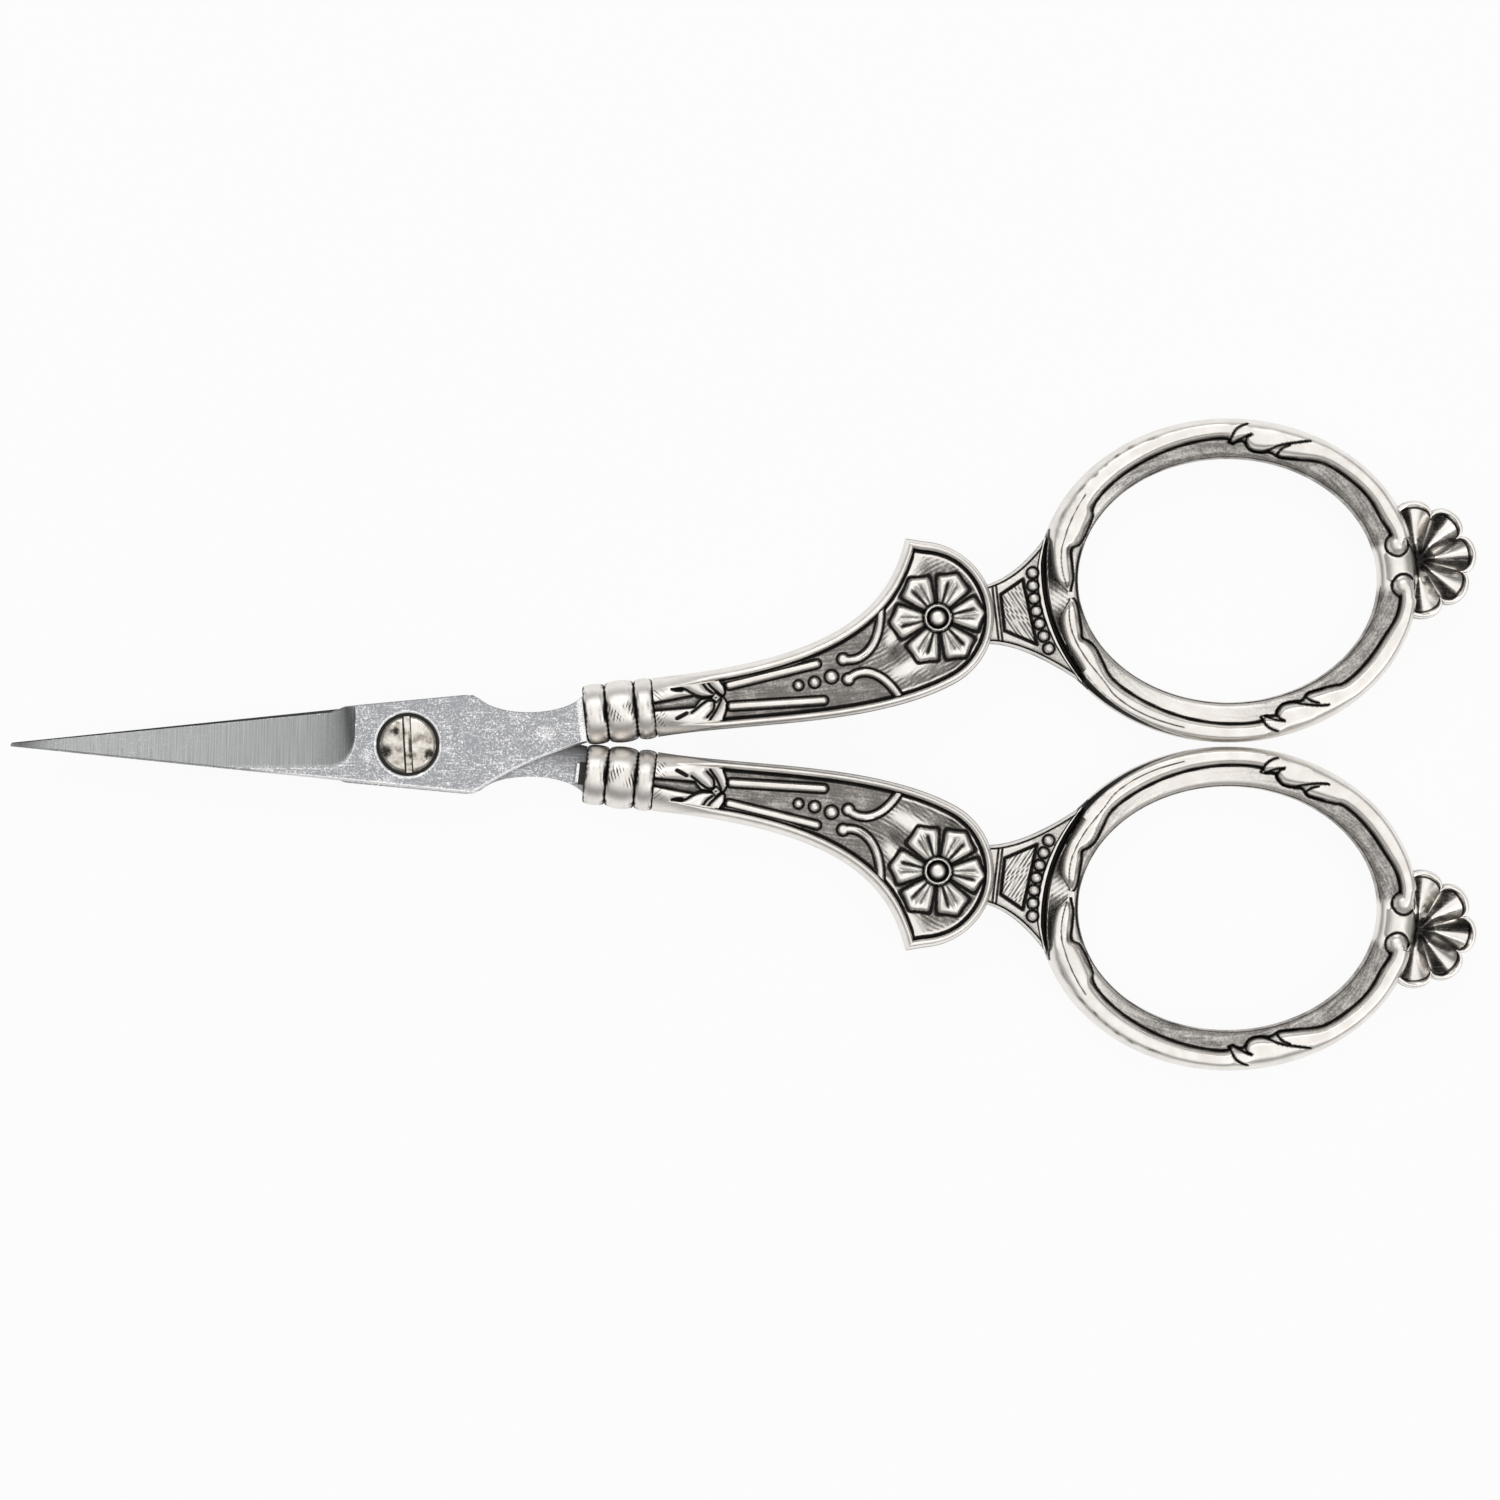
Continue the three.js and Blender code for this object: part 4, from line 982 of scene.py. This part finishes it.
def face(name, side, way):
    columns, low, high = face_grid()
    share = np.linspace(0, 1, FACE_ROWS)
    x = columns[:, None] + 0 * share
    y = low[:, None] + (high - low)[:, None] * share
    lean_low = np.hypot(1, np.gradient(low, columns))[:, None]
    lean_high = np.hypot(1, np.gradient(high, columns))[:, None]
    from_rim = np.minimum((y - low[:, None]) / lean_low, (high[:, None] - y) / lean_high)
    on_disc = ramp(-0.25, 0.25, x - follow(PARTING, y))
    away = np.hypot(x - ROSETTE[0], y - ROSETTE[1])
    on_calyx = ramp(0.06, -0.06, x - follow(CALYX_BORDER, y))
    floor = PANEL + (DISH - PANEL + DISH_RISE * ramp(2, 6, away)) * on_disc
    floor = floor + (CALYX_TOP - PANEL) * on_calyx
    relief = Relief(floor, face_patina(x, y, on_disc, on_calyx))
    beside = near(from_rim, 0.3, 0.08) * (1 - on_calyx)
    relief.patina = relief.patina - 0.4 * beside * on_disc
    relief.line(from_rim + FAR * on_calyx, width=0.28)
    add_panel(relief, x, y)
    add_rosette(relief, x, y)
    add_calyx(relief, x, y, on_calyx)
    z = root_cap(x, y, np.minimum(relief.height, HALF_THICKNESS - 0.05))
    flat = np.zeros(len(columns))
    loop_x = np.column_stack([columns, x, columns, columns])
    loop_y = np.column_stack([low, y, high, low])
    face_values = (z * way, relief.patina, on_disc)
    loop_z, patina, lean = (np.column_stack([flat, values, flat, flat]) for values in face_values)
    points = from_grip(np.stack([loop_x, loop_y, loop_z], axis=-1))
    # Brushed along the panel and aslant over the disc.
    brush = np.stack([loop_x + lean * loop_y, (loop_y - lean * loop_x) * 0.7], axis=-1)
    return sheet(name, into_frame(points, side), brush, patina=patina)


# The finger bow: an oval ring, cast with the shank. A round moulding runs along its outside, split into two
# strands that taper to points at the neck, break into leaves above and below and end in bulbs at the shell.
# Its marks are given in degrees round the hole and millimetres out from it.
BOW = np.array((65.5, 13.12))  # from the pivot
HOLE = np.array((12, 9.75))
BAND = 3.2
BOW_HALF_THICKNESS = 2.0
LOW_BAND = 1.3
LOW_BAND_EDGE = 0.65
BOW_COLUMNS = 760
BOW_ROWS = 60
HOLE_ROUND = 0.7  # how far in from the hole the low band is rounded
SADDLE_RISE = 0.85  # share of the thickness where the bow carries the shell
AT_NECK = ((162, 170), (221, 214))  # degrees over which the neck's stretch starts and ends
LOW_TONE = 0.42
LOW_POLISH = ((255, 36, 0.26), (150, 20, 0.16), (180, 9, 0.38))  # middle, spread and how much brighter
STRAND_LEAST = 0.14  # half width at which a strand ends
STRAND_INNER = (
    (0, 1.3), (9, 1.3), (18, 1.6), (25, 1.46), (34, 1.62), (45, 1.6), (55, 1.49), (60, 1.2), (65, 0.84),
    (71, 0.58), (75, 0.8), (78, 0.66), (81, 0.64), (83, 0.83), (85, 1.35), (87, 1.35), (89, 1.15), (91, 1.55),
    (99, 1.54), (120, 1.3), (145, 1.06), (151, 0.51), (158, 0.3), (164, 0.45), (167, 0.95), (173, 0.65),
    (179, 0.46), (184, 0.68), (187, 0.8), (189, 0.47), (194, 0.41), (201, 0.69), (205, 1.0), (208, 0.68),
    (212, 0.57), (218, 0.86), (225, 1.31), (240, 1.48), (262, 1.7), (280, 1.76), (282, 1.38), (286, 1.5),
    (288, 1.05), (290, 0.77), (294, 0.85), (297, 1.0), (300, 0.66), (306, 0.88), (310, 1.16), (315, 1.5),
    (335, 1.5), (346, 1.8), (354, 1.74), (360, 1.3),
)
STRAND_OUTER = (
    (0, 2.75), (14, 2.75), (22, 3.2), (90, 3.2), (155, 3.2), (162, 3.15), (167, 2.75), (171, 2.48),
    (174, 2.32), (179, 1.97), (182, 1.52), (185, 1.0), (187, 0.9), (189, 1.03), (192, 1.57), (194, 1.92),
    (198, 2.19), (204, 2.37), (211, 2.49), (215, 2.64), (221, 3.2), (270, 3.2), (345, 3.2), (353, 3.05),
    (358, 2.8), (360, 2.75),
)
CRESCENT = (
    (160, 3.2), (168, 3.12), (174, 2.92), (180, 2.79), (188, 2.69), (196, 2.66), (204, 2.7), (211, 2.76),
    (218, 2.85), (226, 2.93), (235, 3.03), (242, 3.09), (255, 3.2),
)
CRESCENT_HALF_WIDTH = 0.24
CREASES = (
    ((145.7, 2.04), (153.7, 1.9), (162.4, 1.76), (169.2, 1.68), (175.8, 1.4), (183.4, 0.98)),
    ((191, 1.05), (200, 1.5), (212.8, 1.7), (218.9, 1.78), (224, 1.96), (229.6, 2.28), (240, 2.42),
     (254.8, 2.4)),
)
STRAND_ENDS = ((13.6, 1.78), (357.9, 1.9))
END_RADIUS = 0.84
LEAF_LINES = (
    ((84.2, 2.73), (86.2, 2.54), (88.0, 2.22), (89.2, 1.73), (90.1, 1.24)),
    ((90.1, 1.24), (88.6, 1.15), (87.1, 1.37), (84.8, 1.71), (82.8, 1.91)),
    ((82.8, 1.91), (84.1, 1.66), (84.2, 1.29), (83.1, 0.83), (80.7, 0.64), (78.2, 0.66), (75.9, 0.91),
     (73.5, 1.31), (70.5, 1.68), (67.0, 2.07), (63.1, 2.55)),
    ((69.2, 1.7), (71.2, 1.32), (72.3, 0.81), (70.9, 0.58), (65.0, 0.84)),
    ((281.2, 1.38), (281.6, 1.76), (282.2, 2.09), (283.7, 2.47), (285.4, 2.72)),
    ((282.7, 1.34), (284.4, 1.64), (286.3, 1.89), (288.5, 2.03)),
    ((288.5, 2.06), (287.2, 1.79), (286.7, 1.38), (287.5, 1.05), (290.1, 0.77), (293.6, 0.85), (296.4, 1.25),
     (299.3, 1.62), (301.9, 1.94), (304.4, 2.2)),
    ((301.6, 1.67), (299.5, 1.24), (298.8, 0.83), (300.7, 0.66), (305.8, 0.88)),
)


def bow_place(degrees, out):
    """Places on the bow, from the pivot, at an angle round the finger hole and a distance out from it."""
    turn = np.radians(degrees)
    edge_x, edge_y = HOLE[0] * np.cos(turn), HOLE[1] * np.sin(turn)
    normal_x, normal_y = HOLE[1] * np.cos(turn), HOLE[0] * np.sin(turn)
    length = np.hypot(normal_x, normal_y)
    return BOW[0] + edge_x + out * normal_x / length, BOW[1] + edge_y + out * normal_y / length


def round_bow(marks, degrees):
    """The distance out at each angle, along a smooth line through the marks."""
    path = through(marks)
    return np.interp(degrees, np.maximum.accumulate(path[:, 0]), path[:, 1])


def between(value, rise, fall):
    """Soft ramps up over rise and down over fall, and 1 from one to the other."""
    return ramp(*rise, value) * ramp(*fall, value)


def round_both_faces(front, flip=1):
    """Rows of values on the front run on over the back, and close where they began."""
    return np.concatenate([front, (front * np.array(flip))[:, ::-1], front[:, :1]], axis=1)


def low_band(out, at_neck, saddle):
    """Heights of the bow without its strands: a low band, rounded at both edges and full at the saddle."""
    shoulder = arched((out - BAND / 2) / (BAND / 2))
    band = LOW_BAND_EDGE + (LOW_BAND - LOW_BAND_EDGE) * quarter_round(out, HOLE_ROUND)
    base = np.where(out > BAND / 2, band * (at_neck + (1 - at_neck) * shoulder), band)
    return np.maximum(base, SADDLE_RISE * BOW_HALF_THICKNESS * shoulder * saddle)


def low_patina(degrees, out, hatch, saddle, outside, crescent):
    """Brown on the low band, black along the finger hole and in the corner between strands and neck."""
    tone = LOW_TONE
    for angle, spread, brightening in LOW_POLISH:
        tone = tone - brightening * near(degrees, angle, spread)
    at_hole = near(out, 0.19, 0.12) * between(degrees, (158, 168), (206, 190))
    hole_edge = np.maximum(0.75 * near(out, 0.1, 0.06), 0.9 * at_hole)
    plain = np.maximum(tone, hole_edge) * (1 - saddle) * (1 - outside)
    beside = 0.95 + (0.28 * hatch - 0.85) * near(degrees, 187.5, 6)
    beside = beside * (1 - 0.9 * near(out, crescent - CRESCENT_HALF_WIDTH - 0.07, 0.05))
    return plain + outside * beside


def add_strands(relief, degrees, out, at_neck, running, towards_other):
    """Round strands with a black inner border, facets at the neck darkened as painted shade, and streaks.

    Returns where they stand up clearly.
    """
    inner = round_bow(STRAND_INNER, degrees)
    outer = round_bow(STRAND_OUTER, degrees)
    half = (outer - inner) / 2
    reach = (out - inner - half) / np.maximum(half, 0.05)
    ended = (1 - running) + ramp(0.16, 0.12, half)
    relief.line(out - inner + FAR * ended, width=0.22, depth=0.15)
    fullness = np.where(reach < 0, 5, 2.6 + 2.4 * np.maximum(at_neck, 0.5 * towards_other))
    arch = arched(reach, fullness)
    crest = (BOW_HALF_THICKNESS - 0.45 * ramp(0.7, 0.2, half)) * running
    strand = (out > inner) & (out < outer) & (running > 0) & (half > STRAND_LEAST)
    relief.height = np.where(strand, np.maximum(relief.floor, crest * arch), relief.height)
    border = near(np.minimum(out - inner, np.where(at_neck > 0, outer - out, FAR)), 0, 0.11)
    faceted = between(degrees, (140, 148), (184, 182)) + between(degrees, (188, 190), (224, 212))
    facet_shade = 0.4 * faceted * ramp(0.42, 0.36, out - inner)
    streak = near(out, 2.6 + 0.1 * np.sin(degrees / 6), 0.2) * between(degrees, (90, 125), (168, 162))
    streak = streak * (0.28 + 0.14 * np.sin(degrees * 0.9 + 3 * np.sin(degrees / 7)))
    wear = np.sin(out * 2 * math.pi / 0.55 + 1.5 * np.sin(degrees / 9)) * np.sin(degrees / 5.3 + out)
    on_strand = np.maximum(border * running, facet_shade + streak + 0.12 * wear)
    relief.patina = np.where(strand, on_strand, relief.patina)
    return strand & (arch > 0.3) & (running > 0.6)


def add_crescent(relief, degrees, out, at_neck, towards_other, crescent):
    """The outer flank, darkened a little and, towards the other half, as painted shade, and the black groove
    that follows the neck and runs out along that flank.
    """
    off_side = 1 - 0.7 * ramp(0.1, 0.03, BAND - out) * (1 - at_neck)
    flank_start = BAND - 0.28 + 0.16 * ramp(236, 260, degrees)
    flank = (0.1 + 0.8 * towards_other) * ramp(0, 0.12, out - flank_start)
    relief.darken(flank * (1 - at_neck) * off_side)
    width = np.interp(degrees, (211, 226), (CRESCENT_HALF_WIDTH, 0.7 * CRESCENT_HALF_WIDTH))
    groove = np.exp(-(((out - crescent) / width) ** 4)) * between(degrees, (163, 169), (256, 238))
    relief.height = relief.height - np.interp(degrees, (214, 232), (0.6, 0.2)) * groove
    relief.darken(groove * off_side)


def add_bow_lines(relief, x, y, lines, **cut):
    for marks in lines:
        path = np.column_stack(bow_place(*through(marks, steps=5).T))
        relief.line(distance_to(x, y, path), **cut)


def add_strand_ends(relief, x, y, standing):
    """The bulb that each strand ends in beside the shell."""
    for angle, distance in STRAND_ENDS:
        end_x, end_y = bow_place(angle, distance)
        away = np.hypot(x - end_x, y - end_y)
        relief.line(np.where(standing, FAR, away - END_RADIUS - LINE / 3), width=0.2)
        ball = np.sqrt(np.clip(END_RADIUS**2 - away**2, 0, None)) + BOW_HALF_THICKNESS - END_RADIUS
        relief.patina = np.where((away < END_RADIUS) & (ball > relief.height), 0.03, relief.patina)
        relief.height = np.where(away < END_RADIUS, np.maximum(ball, relief.height), relief.height)


def bow(name, side):
    degrees = np.linspace(0, 360, BOW_COLUMNS + 1)[:, None]
    out = BAND * (1 - np.cos(np.linspace(0, math.pi, BOW_ROWS))) / 2 + 0 * degrees
    x, y = bow_place(degrees, out)
    crescent = round_bow(CRESCENT, degrees)
    at_neck = between(degrees, *AT_NECK)
    upper_end, lower_end = STRAND_ENDS[0][0], STRAND_ENDS[1][0]
    running = between(degrees, (upper_end - 0.3, upper_end + 0.3), (lower_end + 0.3, lower_end - 0.3))
    saddle = ramp(upper_end + 4, upper_end - 3, degrees) + ramp(lower_end - 4, lower_end + 3, degrees)
    towards_other = ramp(0, -0.6, np.sin(np.radians(degrees)))
    outside = at_neck * ramp(-0.05, 0.05, out - round_bow(STRAND_OUTER, degrees))
    hatch = 0.5 + 0.5 * ripple(0.7 * x + y, 0.42)
    patina = low_patina(degrees, out, hatch, saddle, outside, crescent)
    relief = Relief(low_band(out, at_neck, saddle), patina)
    standing = add_strands(relief, degrees, out, at_neck, running, towards_other)
    add_crescent(relief, degrees, out, at_neck, towards_other, crescent)
    add_bow_lines(relief, x, y, CREASES, width=0.11, depth=0.04, shade=0.65)
    add_strand_ends(relief, x, y, standing)
    add_bow_lines(relief, x, y, LEAF_LINES, width=0.15, depth=0.25)
    places = round_both_faces(np.stack([x, y, relief.height], axis=-1), (1, 1, -1))
    loop_out = round_both_faces(out)
    run = np.radians(degrees) * (HOLE.mean() + BAND / 2) + 0 * loop_out
    brush = np.stack([run + loop_out, loop_out * 0.8 - 0.1 * run], axis=-1)
    return sheet(name, into_frame(places, side), brush, patina=round_both_faces(relief.patina))


# The neck between disc and bow: a flat web with hollow sides, a sunk hatched wedge and a row of seven beads.
# Its u and v run along and across the bow's tilted axis, from the bow's centre.
BOW_TILT = math.radians(6.8)
NECK_START = -20.2  # from the bow's centre, along its tilted axis
NECK_SHIFT = -0.45
NECK_HALF_WIDTH = 2.3
NECK_BEND = -17.2
NECK_MEETS = (218.5, 165)
NECK_BRACKET = -18.85  # line across, next to the disc
NECK_TOP = 1.75
NECK_COLUMNS = 130
NECK_ROWS = 150
WEDGE = ((-18.25, 1.0), (-18.3, -1.9), (-15.85, -3.3), (-16.35, 2.0), (-18.25, 1.0))
WEDGE_SPAN = (-18.28, -15.9)
WEDGE_SLOPES = (-0.57, 0.53, -0.09)  # of its lower and upper side and its end
WEDGE_HATCH = 0.31
NECK_SQUARE = 14  # the higher, the flatter and squarer across
NECK_BORDER = 0.88  # share of the half width where a line runs along each side
NECK_LIP = 0.24  # width of the bright strip along the bow
NECK_BEADS = 7
NECK_BEAD_RADIUS = 0.38
NECK_BEAD_PITCH = 1.02
NECK_BEAD_START = 2.4
NECK_BEAD_MIDDLE = (-15.66, 0.6)  # where the bowed row of beads comes nearest to the disc
NECK_BEAD_BOW = 0.037


def add_wedge(relief, u, v):
    """The sunk wedge with its broken hatching and a black line round it."""
    (high_u, high_v), (low_u, low_v), end_corner = WEDGE[:3]
    in_sides = (v > low_v + WEDGE_SLOPES[0] * (u - low_u)) & (v < high_v + WEDGE_SLOPES[1] * (u - high_u))
    wedge_end = WEDGE_SPAN[1] + WEDGE_SLOPES[2] * (v - end_corner[1])
    sunk = in_sides & (u > WEDGE_SPAN[0]) & (u < wedge_end)
    hatch = ripple(u + v * 0.5, WEDGE_HATCH) * np.sin(2.3 * v - u + 2 * np.sin(1.7 * u + 2.9 * v))
    relief.height = relief.height - np.where(sunk, 0.16 + 0.04 * hatch, 0)
    relief.patina = np.where(sunk, 0.3 + 0.32 * hatch, relief.patina)
    relief.line(distance_to(u, v, WEDGE), width=0.25)


def add_neck_beads(relief, u, v):
    for bead in range(NECK_BEADS):
        bead_v = NECK_BEAD_START - bead * NECK_BEAD_PITCH
        bead_u = NECK_BEAD_MIDDLE[0] + NECK_BEAD_BOW * (bead_v - NECK_BEAD_MIDDLE[1]) ** 2
        relief.ridge(np.hypot(u - bead_u, v - bead_v), NECK_BEAD_RADIUS, 0.3, tone=0.27)


def neck(name, side):
    share = np.linspace(0, 1, NECK_COLUMNS)[:, None]
    across = np.linspace(-1, 1, NECK_ROWS)
    across = across * (1.5 - 0.5 * across**2)
    degrees = NECK_MEETS[0] + (NECK_MEETS[1] - NECK_MEETS[0]) * (across + 1) / 2
    rim_out = np.minimum(round_bow(CRESCENT, degrees) + CRESCENT_HALF_WIDTH, BAND - 0.05)
    end_x, end_y = bow_place(degrees, rim_out)
    end_along, end_across = leaned(end_x - BOW[0], end_y - BOW[1], BOW_TILT)
    side_y = NECK_SHIFT + NECK_HALF_WIDTH * across
    u = NECK_START * (1 - share) ** 2 + 2 * NECK_BEND * share * (1 - share) + end_along * share**2
    v = side_y * (1 - share**2) + end_across * share**2
    level = NECK_TOP * arched(across, NECK_SQUARE) + 0 * share
    edge_shade = 0.2 * ramp(0.96, 1, np.abs(across))
    bead_strip = ramp(-16.4, -16.1, u) * ramp(0.98, 0.8, np.abs(across))
    relief = Relief(level, 0.24 + edge_shade + 0.1 * bead_strip)
    past_border = np.abs(across) - NECK_BORDER
    relief.line(past_border * NECK_HALF_WIDTH + 0 * share, width=0.12)
    for bracket in (NECK_BRACKET, NECK_BRACKET + 0.3):
        relief.line(np.maximum(np.abs(u - bracket), FAR * past_border), width=0.13, shade=0.8)
    from_end = np.hypot(u - end_along, v - end_across)
    relief.line(from_end - NECK_LIP - 0.1, width=0.14, shade=0.85)
    relief.patina = np.where(from_end < NECK_LIP, 0.02, relief.patina)
    add_wedge(relief, u, v)
    add_neck_beads(relief, u, v)
    x, y = leaned(u, v, -BOW_TILT)
    grid = np.stack([BOW[0] + x, BOW[1] + y, relief.height], axis=-1)
    grid = np.concatenate([grid, grid[-1:] * (1, 1, 0)])  # an upright wall where the neck meets the bow
    patina = np.concatenate([relief.patina, relief.patina[-1:]])
    places = round_both_faces(grid, (1, 1, -1))
    brush = places[..., :2] @ [[1, 0.5], [-0.5, 1]]
    return sheet(name, into_frame(places, side), brush, patina=round_both_faces(patina))


# The shell at the end of the bow: five lobes in a fan, each hollowed to a polished spoon with a bright rim.
# It is cast with the bow, and the pieces of both handles are put together after it.
SHELL_LOBES = 5
SHELL_LOBE = math.radians(44.5)
SHELL_RADIUS = 4.75
SHELL_NOTCH = 3.8
SHELL_TOP = 1.3
SHELL_EDGE = 0.5
SHELL_ROUND = 0.22
SHELL_LIP = (0.62, 0.36)  # distances from the end between which the lip rises
FLUTE_DEPTH = 0.85
SHELL_COLUMNS = 44
SHELL_ROWS = 60


def shell(name, side):
    turn = np.linspace(-SHELL_LOBES / 2, SHELL_LOBES / 2, SHELL_LOBES * SHELL_COLUMNS + 1)[:, None]
    place = 2 * ((turn + SHELL_LOBES / 2) % 1) - 1
    share = np.linspace(0, 1, SHELL_ROWS)
    reach = SHELL_NOTCH + (SHELL_RADIUS - SHELL_NOTCH) * arched(place)
    away = reach * (1 - (1 - share) ** 1.4)
    angle = BOW_TILT + turn * SHELL_LOBE
    from_end = reach - away
    lip = ramp(*SHELL_LIP, from_end)
    flute = (1 - place**2) * (1 - lip) * ramp(0.2, 1.6, away)
    level = SHELL_EDGE + (SHELL_TOP - SHELL_EDGE) * quarter_round(from_end, SHELL_ROUND)
    level = level - FLUTE_DEPTH * flute - 0.4 * ramp(1.2, 0.0, away)
    # Painted shade on one half of each flute.
    shaded_side = np.where(turn > 0.5, 1, -1)
    flute_shade = 0.75 * ramp(0, 0.5, flute) * ramp(-0.1, 0.25, place * shaded_side)
    patina = 0.02 + flute_shade + 0.9 * ramp(1.5, 0.4, away)
    patina = np.maximum(patina, 0.85 * near(from_end, 0.56, 0.1))
    patina = np.maximum(patina, 0.5 * ramp(0.12, 0.03, from_end))
    centre_x, centre_y = bow_place(math.degrees(BOW_TILT), BAND)
    x = centre_x + away * np.cos(angle)
    y = centre_y + away * np.sin(angle)
    places = round_both_faces(np.stack([x, y, level], axis=-1), (1, 1, -1))
    return sheet(name, into_frame(places, side), places[..., :2], patina=round_both_faces(patina))


polished = shaded("antique_silver_polished", lambda wire: antique_silver(wire, smooth=0.12))
for side in ("front", "rear"):
    body = f"{side}_half"
    dress(f"{side}_shank_rim", rim("rim", side), silver, body, f"{side}_handle")
    dress(f"{side}_shank_face", face("face", side, 1), silver, body)
    dress(f"{side}_shank_back", face("back", side, -1), silver, body)
    dress(f"{side}_bow", bow("bow", side), silver, body)
    dress(f"{side}_neck", neck("neck", side), silver, body)
    dress(f"{side}_shell", shell("shell", side), polished, body)

# The studio: a white table that keeps the shadow, a pale sky that is bright overhead and darker lower down,
# so that round metal shows a dark flank, and two soft lamps.
VIEW_DISTANCE = 0.4
VIEW_WIDTH = 0.12
VIEW_CENTRE = (0.000557, -0.00044)
SENSOR = 36
TABLE = 3


def table():
    form = bmesh.new()
    bmesh.ops.create_grid(form, x_segments=1, y_segments=1, size=TABLE)
    mesh = mesh_from("table", form)
    material = shaded("table_white", lambda wire: {"Base Color": (0.8, 0.8, 0.8, 1), "Roughness": 0.9})
    tree = material.node_tree
    wire = Wire(tree)
    seen = wire.node("ShaderNodeLightPath", output="Is Camera Ray")
    seen = seen + wire.node("ShaderNodeLightPath", output="Is Glossy Ray")
    seen = seen + wire.node("ShaderNodeLightPath", output="Is Transmission Ray")
    white = wire.node("ShaderNodeEmission", {"Color": (1, 1, 1, 1), "Strength": 1.0})
    lit = Wire(tree, tree.nodes["Principled BSDF"].outputs[0])
    shown = wire.node("ShaderNodeMixShader", {0: seen.math("MINIMUM", seen, 1.0) * 0.93, 1: lit, 2: white})
    tree.links.new(shown.socket, tree.nodes["Material Output"].inputs["Surface"])
    mesh.materials.append(material)
    board = into_scene("table", mesh)
    board.location.z = -MILLIMETRE / 20


def sky():
    world = bpy.data.worlds.new("studio")
    bpy.context.scene.world = world
    world.use_nodes = True
    tree = world.node_tree
    wire = Wire(tree)
    way = wire.node("ShaderNodeTexCoord", output="Generated")
    height = wire.node("ShaderNodeSeparateXYZ", {0: way}, output="Z")
    strength = 0.24 + 0.82 * height.step(0.5, 0.92) + 0.25 * height.step(0.3, 0.0)
    tree.links.new(strength.socket, tree.nodes["Background"].inputs["Strength"])
    tree.nodes["Background"].inputs["Color"].default_value = (1, 0.99, 0.98, 1)


def lamp(name, place, size, power):
    light = bpy.data.lights.new(name, "AREA")
    light.shape = "RECTANGLE"
    light.size, light.size_y = size
    light.energy = power
    holder = into_scene(name, light)
    holder.location = place
    holder.rotation_euler = (-Vector(place)).to_track_quat("-Z", "Y").to_euler()


table()
sky()
lamp("back_softbox", (-0.1, 0.55, 0.5), (0.9, 0.3), 1.3)
lamp("right_softbox", (0.45, -0.3, 0.6), (0.3, 0.4), 0.6)

camera = into_scene("camera", bpy.data.cameras.new("camera"))
camera.data.sensor_width = SENSOR
camera.data.lens = SENSOR * VIEW_DISTANCE / VIEW_WIDTH
camera.data.clip_start = 0.01
camera.location = (*VIEW_CENTRE, PIVOT[2] + VIEW_DISTANCE)
bpy.context.scene.camera = camera
bpy.context.scene.view_settings.view_transform = "Standard"
